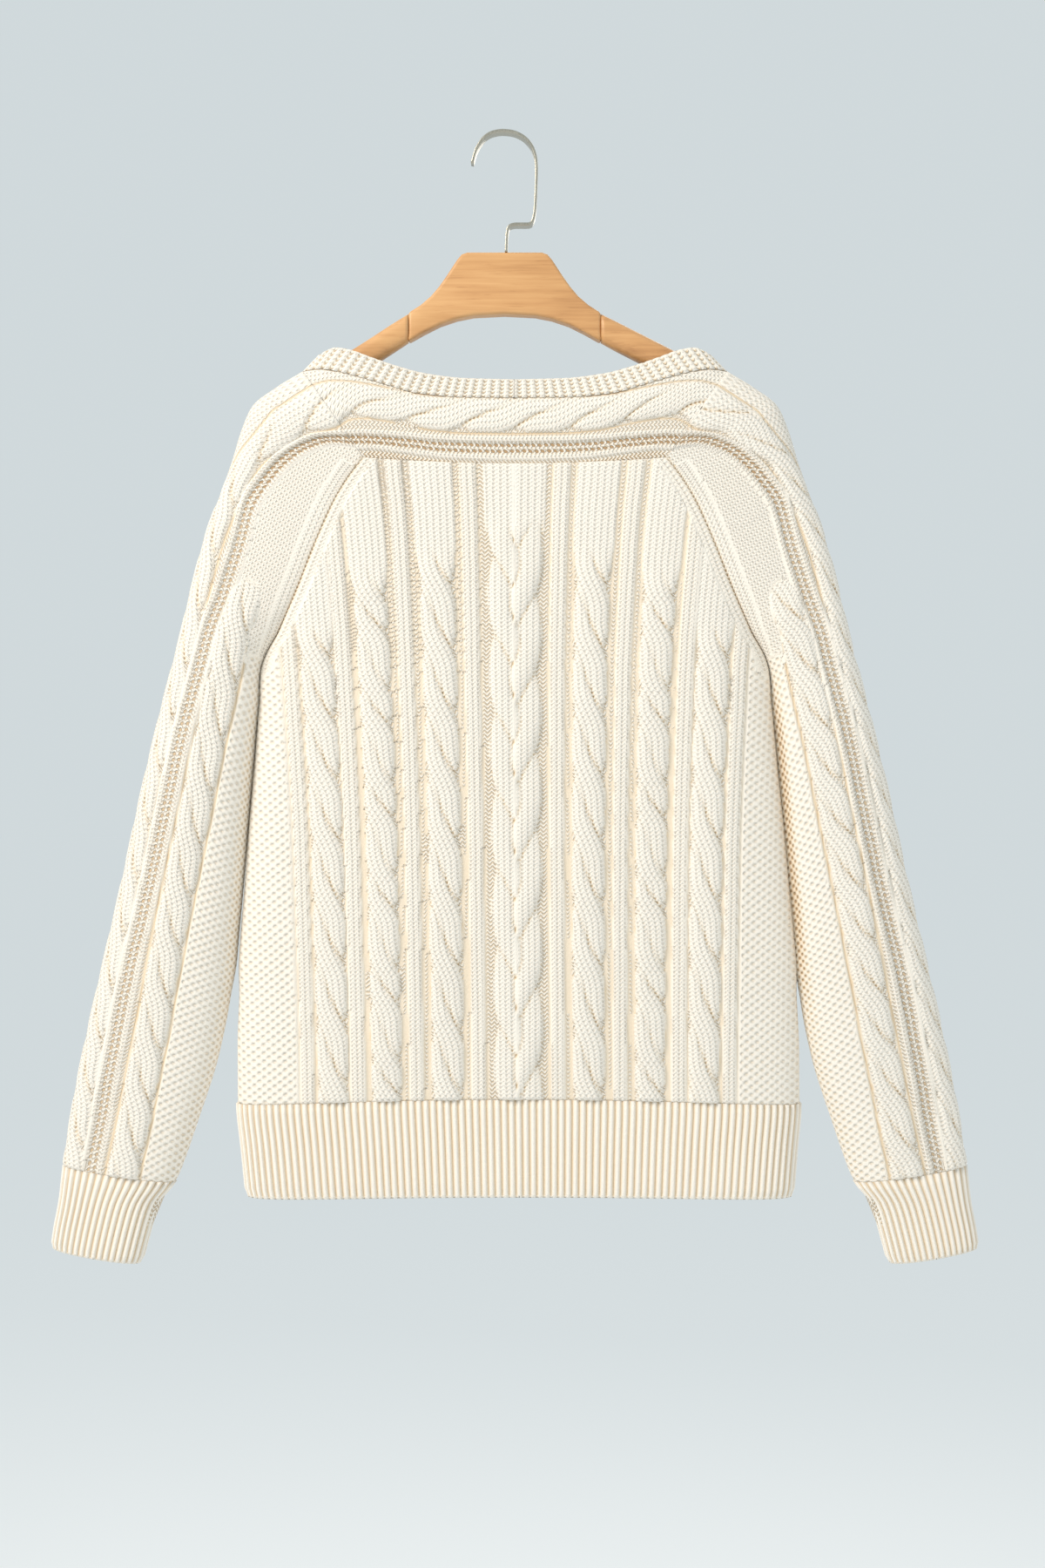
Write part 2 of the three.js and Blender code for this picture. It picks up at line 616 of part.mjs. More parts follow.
// The hand is -1 where the rope's top strand moves outward on its way down, and 1 where it moves inward.
function sleeveRelief(arc, lines, row, hand) {
  const along = sleeveLength(row) / SLEEVE_ROPE_PERIOD;
  let height = 0;
  if (Math.abs(arc - lines.rope) < SLEEVE_ROPE_HALF) {
    height = rope(arc - lines.rope, along, SLEEVE_ROPE_HALF, ROPE_HEIGHT * SLEEVE_ROPE_SHARE, hand);
  }
  for (const edge of [-LADDER_HALF, LADDER_HALF]) {
    height = Math.max(height, LADDER_RIDGE * plateau(arc - lines.ladder - edge, LADDER_RIDGE_HALF));
  }
  if (row > INNER_ROPE_START_ROW - 1 && Math.abs(arc - lines.inner) < INNER_ROPE_HALF) {
    const begun = smooth(INNER_ROPE_START_ROW - 0.6, INNER_ROPE_START_ROW + 0.4, row);
    const cable = rope(arc - lines.inner, along + 0.5, INNER_ROPE_HALF, ROPE_HEIGHT, hand);
    height = Math.max(height, begun * cable);
  }
  if (arc > lines.inner + INNER_ROPE_HALF + 1) height = MOSS_HEIGHT;
  return height;
}

// Arc positions of one side's points, kept in order where the knit lines run close together.
function sleeveColumns(lines, total) {
  const corner = Math.max(0, lines.rope - SLEEVE_ROPE_HALF);
  const wanted = [
    ...CORNER_SHARES.map((share) => share * corner),
    lines.rope - SLEEVE_ROPE_HALF,
    lines.rope - SLEEVE_ROPE_HALF / 2,
    lines.rope,
    lines.rope + SLEEVE_ROPE_HALF / 2,
    lines.rope + SLEEVE_ROPE_HALF,
    lines.ladder - LADDER_HALF,
    lines.ladder + LADDER_HALF,
    lines.inner - INNER_ROPE_HALF,
    lines.inner - INNER_ROPE_HALF / 2,
    lines.inner,
    lines.inner + INNER_ROPE_HALF / 2,
    lines.inner + INNER_ROPE_HALF,
  ];
  const placed = [0];
  wanted.forEach((v, i) => {
    const columnsLeft = wanted.length - i + SEAM_COLUMNS;
    placed.push(clamp(v, placed[i] + LEAST_COLUMN, total - columnsLeft * LEAST_COLUMN));
  });
  const from = placed[placed.length - 1];
  for (let k = 1; k < SEAM_COLUMNS; k += 1) placed.push(mix(from, total, k / SEAM_COLUMNS));
  return [...placed, total];
}

// One face of a sleeve, from its outer line to the raglan and underarm seam: side is -1 back, +1 front.
function sleeveFace(side, hand) {
  const rows = [...RAGLAN_ROWS];
  for (let k = 1; k <= SLEEVE_ROWS_BELOW; k += 1) {
    rows.push(mix(ARMPIT_ROW, CUFF_SEAM_ROW, k / SLEEVE_ROWS_BELOW));
  }
  const outside = [];
  const inside = [];
  rows.forEach((row, index) => {
    const section = sleeveSection(row);
    const arcs = arcOf(section);
    const lines = {
      rope: arcs.toArc(sleeve.rope(row)),
      ladder: arcs.toArc(sleeve.ladder(row)),
      inner: arcs.toArc(sleeve.inner(row)),
    };
    const ends = { x: -section.across.z, z: section.across.x };
    const shift = index === 0 ? HALF_GAP : index === rows.length - 1 ? -HALF_GAP : 0;
    const away = row <= ARMPIT_ROW ? acrossSeam(row) : { x: 0, z: 0 };
    const place = (arc, push) => {
      const isSeam = arc >= arcs.total;
      const point = sleevePoint(section, arcs.toC(arc), side);
      const normal = isSeam ? seamNormal(section, side) : point.normal;
      point.at.addScaledVector(normal, push);
      const aside = isSeam && index > 0 ? HALF_GAP : 0;
      point.at.x += ends.x * shift + away.x * aside;
      point.at.z += ends.z * shift + away.z * aside;
      if (arc === 0) point.at.y = side * HALF_GAP;
      return point.at;
    };
    const raised = (arc) => {
      const fromSeam = smooth(0, SEAM_FADE, arcs.total - arc);
      const fromEnds = smooth(0, 0.7, row) * smooth(CUFF_SEAM_ROW, CUFF_SEAM_ROW - 0.25, row);
      return arc === 0 ? 0 : sleeveRelief(arc, lines, row, hand) * fromSeam * fromEnds;
    };
    const columns = sleeveColumns(lines, arcs.total);
    const line = columns.map((arc, i) => ({ at: place(arc, raised(arc)), key: i }));
    outside.push(Object.assign(line, { level: index }));
    if (isPlainRow(index, rows.length)) {
      const plain = SLEEVE_PLAIN_SHARES.map((v) => {
        return { at: place(v * arcs.total, -WALL), key: (line.length - 1) * v };
      });
      inside.push(Object.assign(plain, { level: index }));
    }
  });
  return wall(outside, inside, false);
}

// The yoke: a strap between the neckband and the body, which runs on over the shoulder as the sleeve's top.

const neckSeam = through(NECK_LINES, "share", "seam");
const neckTop = through(NECK_LINES, "share", "top");
const neckDrop = (share, side) => (side > 0 ? FRONT_DROP * (1 - share * share) ** 2 : 0);
const ovalDepth = (share) => Math.sqrt(Math.max(0, 1 - share ** NECK_SQUARENESS));

function yokePoint(share, down, side, top, foot) {
  const shoulder = sleeveSection(0);
  const u = Math.abs(share);
  const square = shoulder.square;
  const lip = Math.min(NECK_SEAM_DEPTH * ovalDepth(u), shoulder.depth);
  const open = 1 - (lip / shoulder.depth) ** square;
  const rise = 1 - down;
  const lift = Math.max(0, 1 - open * rise ** square) ** (1 / square);
  const topX = NECK_SEAM_HALF * share;
  const footX = BODY[0].half * share;
  const at = new THREE.Vector3(mix(topX, footX, down), side * shoulder.depth * lift, mix(top, foot, down));
  const tilt = (open * rise ** (square - 1) * u ** 6) / shoulder.span;
  const normal = new THREE.Vector3(
    -Math.sign(share) * tilt * shoulder.across.x,
    (side * lift ** (square - 1)) / shoulder.depth,
    -tilt * shoulder.across.z,
  ).normalize();
  return { at, normal };
}

function yokeStrap(side) {
  const shoulder = sleeveSection(0);
  const bodyTop = bodyRow(BODY[0].z, BODY[0].half, side > 0 ? FRONT_DROP : 0);
  const ends = { x: -shoulder.across.z, z: shoulder.across.x };
  const rowAt = (down, shares, relief) =>
    shares.map((share) => {
      const u = Math.abs(share);
      const top = neckSeam(u) - neckDrop(u, side) - NECK_GAP;
      const foot = bodyTop.z + bodyTop.bow * (1 - u * u) + HALF_GAP;
      const point = yokePoint(share, down, side, top, foot);
      if (u === 1) {
        const edge = sleevePoint(shoulder, 1 - down, side);
        point.at.set(edge.at.x * Math.sign(share), edge.at.y, edge.at.z);
        point.normal.set(edge.normal.x * Math.sign(share), edge.normal.y, edge.normal.z);
        if (down === 0) point.at.y = side * HALF_GAP;
        point.at.x -= ends.x * HALF_GAP * Math.sign(share);
        point.at.z -= ends.z * HALF_GAP;
      }
      if (down === 1) point.normal.set(0, side, 0);
      const along = (share * NECK_SEAM_HALF) / SLEEVE_ROPE_PERIOD;
      const height = top - foot;
      const ropeAt = mix(YOKE_ROPE_AT, SLEEVE[0].rope / shoulder.span, u ** 4);
      const ladderAt = mix(YOKE_LADDER_AT, SLEEVE[0].ladder / shoulder.span, u ** 4);
      let raised = 0;
      if (relief) {
        const across = (down - ropeAt) * height;
        if (Math.abs(across) < SLEEVE_ROPE_HALF) {
          raised = rope(across, along * side, SLEEVE_ROPE_HALF, ROPE_HEIGHT * SLEEVE_ROPE_SHARE, 1);
        }
        for (const edge of [-LADDER_HALF, LADDER_HALF]) {
          const offset = (down - ladderAt) * height - edge;
          raised = Math.max(raised, LADDER_RIDGE * plateau(offset, LADDER_RIDGE_HALF));
        }
        raised *= smooth(0, 0.06, down) * smooth(1, 0.94, down) * smooth(1, 0.9, u);
      }
      return { at: point.at.addScaledVector(point.normal, relief ? raised : -WALL), key: share };
    });
  const even = Array.from({ length: YOKE_EVEN_COLUMNS + 1 }, (_, i) => i * YOKE_EVEN_STEP);
  const fine = bothWays([...even, ...YOKE_END_SHARES]);
  const plain = bothWays(YOKE_PLAIN_SHARES);
  const rowOf = (k, shares, relief) => Object.assign(rowAt(YOKE_ROWS[k], shares, relief), { level: k });
  const outside = YOKE_ROWS.map((_, k) => rowOf(k, fine, true));
  const inside = YOKE_PLAIN_ROWS.map((k) => rowOf(k, plain, false));
  return wall(outside, inside, false);
}

// Rings of rib: neckband, hem and cuffs.

// Places round a closed line, an equal length apart.
function evenly(count, pointAt) {
  const steps = 4000;
  const lengths = [0];
  let before = pointAt(0);
  for (let i = 1; i <= steps; i += 1) {
    const next = pointAt(i / steps);
    lengths.push(lengths[i - 1] + next.distanceTo(before));
    before = next;
  }
  const places = [];
  let j = 0;
  for (let i = 0; i <= count; i += 1) {
    const wanted = (lengths[steps] * i) / count;
    while (j < steps - 1 && lengths[j + 1] < wanted) j += 1;
    places.push(i === count ? 1 : (j + (wanted - lengths[j]) / (lengths[j + 1] - lengths[j])) / steps);
  }
  return places;
}

// A ribbed tube: two points to a rib outside, plain inside, straight from its seam to its edge.
function ribbedRing(ribs, height, plainCount, pointAt) {
  const levels = [0, 1];
  const places = evenly(ribs * 2, (t) => pointAt(t, 0).at);
  const plainPlaces = evenly(plainCount, (t) => pointAt(t, 0).at);
  const rowOf = (spots, level, push) => {
    const line = spots.map((t, i) => {
      const point = pointAt(t === 1 ? 0 : t, level);
      return { at: point.at.addScaledVector(point.normal, push(i)), key: t };
    });
    line[line.length - 1].at.copy(line[0].at);
    return line;
  };
  const outside = levels.map((level) => rowOf(places, level, (i) => (i % 2 ? height : 0)));
  const inside = levels.map((level) => rowOf(plainPlaces, level, () => -WALL));
  return wall(outside, inside, true);
}

// Point on a squarish oval at a share of a full turn, as shares of its half length and half depth.
// The turn starts at the middle of the back and passes the right end at a quarter.
function oval(t, length, depth) {
  const quarters = (t - Math.floor(t)) * 4;
  const quarter = Math.floor(quarters);
  const within = quarter % 2 ? 1 - (quarters - quarter) : quarters - quarter;
  const u = within * (2 - within);
  const v = Math.max(0, 1 - u ** length) ** (1 / depth);
  return { u: quarter < 2 ? u : -u, v: quarter === 0 || quarter === 3 ? -v : v };
}

function ovalNormal(u, v, half, depth, lengthPower, depthPower) {
  return new THREE.Vector3(
    (Math.sign(u) * lengthPower * Math.abs(u) ** (lengthPower - 1)) / half,
    (Math.sign(v) * depthPower * Math.abs(v) ** (depthPower - 1)) / depth,
    0,
  ).normalize();
}

function hemRing() {
  return ribbedRing(HEM_RIBS, HEM_RIB_HEIGHT, HEM_PLAIN_COLUMNS, (t, level) => {
    const z = mix(HEM_SEAM_Z, HEM_EDGE_Z, level);
    const { u, v } = oval(t, BODY_SQUARENESS, 2);
    const half = body.half(z);
    const depth = body.depth(z);
    const bow = body.bow(z) * (1 - u * u);
    const gap = level === 0 ? HALF_GAP : 0;
    const at = new THREE.Vector3(body.sway(z) + u * half, v * depth, z + bow - gap);
    return { at, normal: ovalNormal(u, v, half, depth, BODY_SQUARENESS, 2) };
  });
}

function neckRing() {
  return ribbedRing(NECK_RIBS, NECK_RIB_HEIGHT, NECK_PLAIN_COLUMNS, (t, level) => {
    const { u, v } = oval(t, NECK_SQUARENESS, 2);
    const share = Math.abs(u);
    const half = mix(NECK_SEAM_HALF - 0.4, NECK_TOP_HALF, level);
    const depth = mix(NECK_SEAM_DEPTH, NECK_TOP_DEPTH, level);
    const drop = neckDrop(share, v > 0 ? 1 : -1);
    const z = (level ? neckTop(share) : neckSeam(share) + NECK_GAP) - drop;
    const at = new THREE.Vector3(u * half, v * depth, z);
    return { at, normal: ovalNormal(u, v, half, depth, NECK_SQUARENESS, 2) };
  });
}

function cuffRing() {
  return ribbedRing(CUFF_RIBS, CUFF_RIB_HEIGHT, CUFF_PLAIN_COLUMNS, (t, level) => {
    const section = sleeveSection(mix(CUFF_SEAM_ROW, CUFF_EDGE_ROW, level));
    const { u, v } = oval(t, section.square, section.square);
    const round = { ...section, reach: section.span / 2 };
    const point = sleevePoint(round, clamp(u, -1, 1), v < 0 ? -1 : 1);
    point.at.y = v * section.depth;
    const ends = { x: -section.across.z, z: section.across.x };
    const gap = level === 0 ? HALF_GAP : 0;
    point.at.x += ends.x * gap;
    point.at.z += ends.z * gap;
    return point;
  });
}

// The hanger

// A solid through closed sections of equal point counts.
function loft(sections) {
  const faces = [];
  const count = sections[0].length;
  const pointIn = (k, i) => ({ at: sections[k][i % count] });
  for (let k = 0; k < sections.length - 1; k += 1) {
    for (let i = 0; i < count; i += 1) {
      quad(pointIn(k, i), pointIn(k, i + 1), pointIn(k + 1, i + 1), pointIn(k + 1, i), faces);
    }
  }
  for (let i = 1; i < count - 1; i += 1) {
    faces.push(sections[0][0], sections[0][i + 1], sections[0][i]);
    const last = sections[sections.length - 1];
    faces.push(last[0], last[i], last[i + 1]);
  }
  return faces;
}

function armLoft(table, hand) {
  return loft(
    table.map((row) => {
      const middle = row.top - row.height / 2;
      return Array.from({ length: ARM_CORNERS }, (_, i) => {
        const { u, v } = oval((i + 0.5) / ARM_CORNERS, ARM_SQUARENESS, ARM_SQUARENESS);
        return new THREE.Vector3(hand * row.x, u * row.half, middle + (v * row.height) / 2);
      });
    }),
  );
}

function hookLoft() {
  return loft(
    HOOK_PATH.map((point, i) => {
      const before = HOOK_PATH[Math.max(0, i - 1)];
      const after = HOOK_PATH[Math.min(HOOK_PATH.length - 1, i + 1)];
      const length = Math.hypot(after.x - before.x, after.z - before.z);
      const side = { x: -(after.z - before.z) / length, z: (after.x - before.x) / length };
      const corner = (thick, deep) =>
        new THREE.Vector3(
          point.x + side.x * thick * HOOK_HALF_THICK,
          deep * HOOK_HALF_DEPTH,
          point.z + side.z * thick * HOOK_HALF_THICK,
        );
      return [corner(-1, -1), corner(1, -1), corner(1, 1), corner(-1, 1)];
    }),
  );
}

function blockFaces() {
  const right = BLOCK_OUTLINE.map((p) => new THREE.Vector2(p.x, p.z));
  const left = BLOCK_OUTLINE.slice(1, -1)
    .reverse()
    .map((p) => new THREE.Vector2(-p.x, p.z));
  const shape = new THREE.Shape([...right, ...left]);
  const geometry = new THREE.ExtrudeGeometry(shape, {
    depth: 2 * (BLOCK_HALF_THICK - BLOCK_BEVEL),
    bevelEnabled: true,
    bevelThickness: BLOCK_BEVEL,
    bevelSize: BLOCK_BEVEL,
    bevelOffset: -BLOCK_BEVEL,
    bevelSegments: 2,
    steps: 1,
  });
  geometry.translate(0, 0, -(BLOCK_HALF_THICK - BLOCK_BEVEL));
  geometry.rotateX(Math.PI / 2);
  const position = geometry.getAttribute("position");
  const corner = (_, i) => new THREE.Vector3().fromBufferAttribute(position, i);
  return Array.from({ length: position.count }, corner);
}

// A copy of faces moved with the garment, turned over to the other hand when asked.
const onGarment = (faces, mirrored = false) =>
  faces.map((p) => new THREE.Vector3((mirrored ? -p.x : p.x) + GARMENT_X, p.y, p.z));

const sweater = new THREE.Group();
sweater.name = "cable_knit_sweater_on_hanger";
sweater.add(
  meshOf("back_panel", onGarment(panel(-1)), WOOL),
  meshOf("front_panel", onGarment(panel(1)), WOOL),
  meshOf("back_yoke", onGarment(yokeStrap(-1)), WOOL),
  meshOf("front_yoke", onGarment(yokeStrap(1)), WOOL),
  meshOf("left_sleeve_back", onGarment(sleeveFace(-1, 1), true), WOOL),
  meshOf("left_sleeve_front", onGarment(sleeveFace(1, 1), true), WOOL),
  meshOf("right_sleeve_back", onGarment(sleeveFace(-1, -1)), WOOL),
  meshOf("right_sleeve_front", onGarment(sleeveFace(1, -1)), WOOL),
  meshOf("neck_rib", onGarment(neckRing()), WOOL),
  meshOf("hem_rib", onGarment(hemRing()), WOOL),
  meshOf("left_cuff", onGarment(cuffRing(), true), WOOL),
  meshOf("right_cuff", onGarment(cuffRing()), WOOL),
  meshOf("hanger_block", blockFaces(), WOOD),
  meshOf("hanger_arm_left", armLoft(LEFT_ARM, -1), WOOD),
  meshOf("hanger_arm_right", armLoft(RIGHT_ARM, 1), WOOD),
  meshOf("hanger_hook", hookLoft(), NICKEL),
);

export default sweater;
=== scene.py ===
# %% [markdown]
# # A cable knit sweater on its wooden hanger
# The sweater is knitted in thick ivory wool: seven cables run down each face between narrow ribs, moss
# stitch fills the sides, and a strap with one cable and a row of eyelets runs across the yoke and down the
# sleeves. Each knitted piece is built here as a thin shell whose outside rises and falls with its stitches.
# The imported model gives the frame, so every piece is made in millimetres and placed where that model is.

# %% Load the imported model
import math

import bpy
import numpy as np
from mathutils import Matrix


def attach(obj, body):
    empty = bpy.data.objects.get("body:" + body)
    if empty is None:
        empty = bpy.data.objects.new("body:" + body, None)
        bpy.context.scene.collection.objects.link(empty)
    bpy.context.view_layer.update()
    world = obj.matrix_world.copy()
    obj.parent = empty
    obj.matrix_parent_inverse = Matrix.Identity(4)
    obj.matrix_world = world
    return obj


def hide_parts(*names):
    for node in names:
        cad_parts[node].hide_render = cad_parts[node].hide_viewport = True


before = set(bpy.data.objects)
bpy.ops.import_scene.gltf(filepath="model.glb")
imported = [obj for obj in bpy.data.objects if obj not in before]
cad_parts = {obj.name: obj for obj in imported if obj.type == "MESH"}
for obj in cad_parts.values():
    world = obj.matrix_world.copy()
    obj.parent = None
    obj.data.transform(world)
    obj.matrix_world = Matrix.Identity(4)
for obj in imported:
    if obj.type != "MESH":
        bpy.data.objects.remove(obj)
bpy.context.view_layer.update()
MM = 0.001

# %% [markdown]
# ## Tables and smooth lines
# A knitter's chart is a table, and so is the shape here: each table has a row for one height or section and
# a named column for each size. A spline through a column could overshoot between rows and make a waist
# that isn't there, so the line used is one that never runs past the values on either side.


# %% Smooth lines through the columns of a table
def table(names, rows):
    return dict(zip(names.split(), np.array(rows, float).T))


def line_through(xs, ys):
    order = np.argsort(xs)
    xs, ys = np.asarray(xs, float)[order], np.asarray(ys, float)[order]
    steps = np.diff(ys) / np.diff(xs)
    inner = np.zeros(len(xs) - 2)
    same_way = steps[:-1] * steps[1:] > 0
    inner[same_way] = (2 * steps[:-1] * steps[1:])[same_way] / (steps[:-1] + steps[1:])[same_way]
    slopes = np.concatenate([[steps[0]], inner, [steps[-1]]])

    def value(x):
        x = np.clip(x, xs[0], xs[-1])
        i = np.clip(np.searchsorted(xs, x) - 1, 0, len(xs) - 2)
        span = xs[i + 1] - xs[i]
        t = (x - xs[i]) / span
        ends = ys[i] * (1 + 2 * t) * (1 - t) ** 2 + ys[i + 1] * t * t * (3 - 2 * t)
        return ends + span * t * (1 - t) * (slopes[i] * (1 - t) - slopes[i + 1] * t)

    return value


def ease(start, stop, value):
    t = np.clip((value - start) / (stop - start), 0, 1)
    return t * t * (3 - 2 * t)


def mix(a, b, t):
    return a + (b - a) * t


def bell(x):
    return np.exp(-(x**2))


def unit(vectors):
    return vectors / np.linalg.norm(vectors, axis=-1, keepdims=True)


def running(steps):
    """Distance walked before the first step and after each one."""
    return np.concatenate([[0], np.cumsum(steps)])


def run_of(points):
    return running(np.linalg.norm(np.diff(points, axis=0), axis=1))


print("halfway from 2 to 4 on an eased line:", mix(2, 4, ease(0, 1, 0.5)))

# %% [markdown]
# ## The knit chart
# A rope cable is two strands that swap places, and the same one always passes over. What the eye sees is a
# groove at each crossing, soft where a strand comes out at one edge and deep where the other one dives under
# at the far edge. Swept tubes could be laid on the cloth, but real cables grow out of it, so each cable here
# is a height over the purl ground, found from how far a point lies from the nearest groove.

# %% Cable heights
EYELET, PURL, KNIT, MOSS = -1.0, 0.0, 1.0, 2.0
WALE, COURSE, MOSS_WALE, RIB_WALE = 4.6, 3.15, 4.15, 4.1
COLUMN_EDGE = 1.1
GROOVE = table("across down", [(-1, 0), (-0.5, 0.26), (0, 0.62), (0.35, 0.815), (1, 1)])
groove_down = line_through(GROOVE["across"], GROOVE["down"])


def turns(z, first, period, share):
    """Crossings passed at height z. Where they come in pairs, a short way and a long way take turns."""
    pairs = (first - z) / (2 * period)
    within = line_through([0, share, 1], [0, 1, 2])
    return 2 * np.floor(pairs) + within(pairs - np.floor(pairs))


def strand_shift(turn, half):
    """How far the columns of stitches have moved across after so many crossings."""
    return 0.95 * half * (turn + 0.14 * np.sin(2 * np.pi * turn))


def rope(across, turn, half, hand, period, soft=0.0):
    crossing = np.cos(np.pi * turn) ** 6
    place = hand * across / half
    place = place / (1 - crossing * np.where(place > 0, 0.24, 0.13))
    inside = np.clip(place, -1, 1)
    down = groove_down(inside)
    slope = (groove_down(inside + 0.01) - groove_down(inside - 0.01)) / 0.02
    passed = turn - down
    nearest = np.round(passed)
    away = (passed - nearest) / np.hypot(slope / half, 1 / period)
    deep = mix(0.2, 1, ease(0.05, 0.7, down)) * np.where(nearest % 2 == 1, 1 - soft, 1)
    groove = deep * np.where(away > 0, bell(away / 1.2), np.exp(-np.abs(away) / 2.8))
    dome = np.maximum(0, 1 - np.abs(place) ** 3) ** 0.55
    line = deep * bell(away / np.where(away > 0, 0.9, 1.6))
    # The second number is painted shade, darker along each crossing's groove and down the rope's sides.
    return dome * (1 - 0.52 * groove), np.maximum(0.9 * line, 0.75 * (1 - ease(0, 0.5, dome)))


def plait(across, along, half):
    lift, second = np.zeros_like(across), np.zeros_like(across)
    for k in range(3):
        turn = 2 * np.pi * (along + k / 3)
        away = (across - 0.5 * half * np.sin(turn)) / (0.52 * half)
        height = (0.78 - 0.22 * np.sin(2 * turn)) * np.maximum(0, 1 - away**2) ** 0.5
        second = np.maximum(second, np.minimum(height, lift))
        lift = np.maximum(lift, height)
    groove = bell((lift - second) / 0.1) * (second > 0.02)
    # The second number is painted shade, darker in the grooves between strands and at the plait's sides.
    return lift * (1 - 0.22 * groove), np.maximum(0.75 * groove, 0.75 * (1 - ease(0, 0.45, lift)))


def plateau(across, half):
    return ease(half + COLUMN_EDGE, half - 0.6, np.abs(across))


sample = rope(np.linspace(-12, 12, 7), np.full(7, 0.5), 13.0, 1, 48)[0]
print("a rope's height halfway between crossings:", np.round(sample, 2))

# %% [markdown]
# ## The body's columns
# The chart of the body is the same on both sides of its middle: plait, rib, rope, rib, rope, rib, rope, rib,
# then moss. Each rope has its own pace, and the second one is crossed in pairs. Near the yoke the cables have
# not started yet, so there each column is flat stocking stitch.

# %% Chart of the body
ROPE_HEIGHT, PLAIT_HEIGHT, RIB_HEIGHT, FLAT_HEIGHT, MOSS_HEIGHT = 4.4, 4.9, 2.0, 1.4, 0.9
MOSS_FROM, MOSS_PAINTED_SHADE = 171, 0.08
FLAT_WIDER, FLAT_ABOVE, FLAT_BELOW = 0.9, 16, 12
BODY_COLUMNS = [
    dict(kind="plait", middle=0, half=19.5, start=-314, first=-347, period=180),
    dict(kind="rib", middle=31, half=5.0),
    dict(kind="rope", middle=55, half=12.8, start=-336, first=-355, period=48.7, share=0.5, soft=0.0),
    dict(kind="rib", middle=79.5, half=5.0),
    dict(kind="rope", middle=103, half=12.2, start=-350, first=-364, period=35.5, share=0.37, soft=0.45),
    dict(kind="rib", middle=125.5, half=5.3),
    dict(kind="rope", middle=145, half=12.6, start=-394, first=-410, period=46.7, share=0.5, soft=0.0),
    dict(kind="rib", middle=165, half=4.8),
]


def column_stitches(column, across, z):
    """Height, wale and crease inside one column of the chart."""
    half = column["half"]
    if column["kind"] == "rib":
        wales = across / RIB_WALE + 1
        rounded = 0.82 + 0.18 * np.abs(np.sin(np.pi * wales))
        return RIB_HEIGHT * plateau(across, half) * rounded, wales, np.full_like(across, 0.1)
    begun = ease(column["start"] + FLAT_ABOVE, column["start"] - FLAT_BELOW, z)
    wales = across / WALE
    if column["kind"] == "plait":
        height, dark = plait(across, (column["first"] - z) / column["period"], half)
        height = height * PLAIT_HEIGHT
    else:
        turn = turns(z, column["first"], column["period"], column["share"])
        began = turns(column["start"], column["first"], column["period"], column["share"])
        height, dark = rope(across, turn, half, 1, column["period"], column["soft"])
        height = height * ROPE_HEIGHT
        wales = wales - (strand_shift(np.maximum(turn, began), half) - strand_shift(began, half)) / WALE
    shape = plateau(across, half + FLAT_WIDER)
    bulge = 1 + 0.5 * np.cos(np.clip(across / half, -1, 1) * np.pi / 2)
    return mix(FLAT_HEIGHT * shape * bulge, height, begun), wales, dark * begun


def raise_column(chart, inside, height, wales, dark, least):
    """The chart with a raised column of knit stitches over the points inside it."""
    lift, old_wales, kind, crease_shade = chart
    return (
        np.where(inside, np.maximum(lift, height), lift),
        np.where(inside, wales, old_wales),
        np.where(inside & (height > least), KNIT, kind),
        np.where(inside, mix(crease_shade, dark, ease(0.2, 1.1, height)), crease_shade),
    )


def lay_over(chart, share, height, wales, kind, crease_shade):
    """The chart with another stitch over the points where share is one."""
    over = share > 0.5
    return (
        mix(chart[0], height, share),
        np.where(over, wales, chart[1]),
        np.where(over, kind, chart[2]),
        mix(chart[3], crease_shade, share),
    )


def body_chart(line, z):
    """Height, wale, kind of stitch and crease at each knit line and height of the body."""
    at = np.abs(line)
    # The purl ground between the columns starts with a painted shade of 0.4, for the shade between the raised
    # cables.
    chart = np.zeros_like(line), line / WALE, np.full_like(line, PURL), np.full_like(line, 0.4)
    for column in BODY_COLUMNS:
        across = line if column["middle"] == 0 else (at - column["middle"]) * np.sign(line)
        wider = 0
        if column["kind"] != "rib":
            wider = FLAT_WIDER * ease(column["start"] - FLAT_BELOW, column["start"] + FLAT_ABOVE, z)
        inside = np.abs(across) < column["half"] + COLUMN_EDGE + wider
        height, wales, dark = column_stitches(column, across, z)
        chart = raise_column(chart, inside, height, wales, dark, 0.5)
    # Moss stitch gets only a faint painted shade.
    moss = ease(MOSS_FROM, MOSS_FROM + 2.5, at)
    return lay_over(chart, moss, MOSS_HEIGHT, line / MOSS_WALE, MOSS, MOSS_PAINTED_SHADE)


print("heights across the middle:", np.round(body_chart(np.linspace(0, 60, 7), np.full(7, -500.0))[0], 1))

# %% [markdown]
# ## From a grid of points to a shell of cloth
# Each knitted piece is a grid: rows down the cloth and columns across it. The outside carries the stitches,
# the inside is plain and needs far fewer points, and long thin faces close the rims between them. A solidify
# modifier would copy every fine point to the inside, which costs triangles that nobody sees.

# %% Shell of cloth
WALL = 3.0
HALF_GAP = 0.05
GARMENT_X = 8.0
LEAST_BREAK = 0.8


def add_object(name, data):
    made = bpy.data.objects.new(name, data)
    bpy.context.scene.collection.objects.link(made)
    return made


def add_mesh(name, points, faces):
    """A smooth mesh through points given in millimetres."""
    mesh = bpy.data.meshes.new(name)
    mesh.from_pydata((np.asarray(points) * MM).tolist(), [], faces)
    mesh.polygons.foreach_set("use_smooth", [True] * len(mesh.polygons))
    return add_object(name, mesh)


def grid_faces(rows, columns, start, ring, turned):
    across = columns if ring else columns - 1
    i, j = np.meshgrid(np.arange(rows - 1), np.arange(across), indexing="ij")
    nxt = (j + 1) % columns
    corners = [i * columns + j, i * columns + nxt, (i + 1) * columns + nxt, (i + 1) * columns + j]
    faces = start + np.stack([c.ravel() for c in corners], axis=1)
    return faces[:, ::-1] if turned else faces


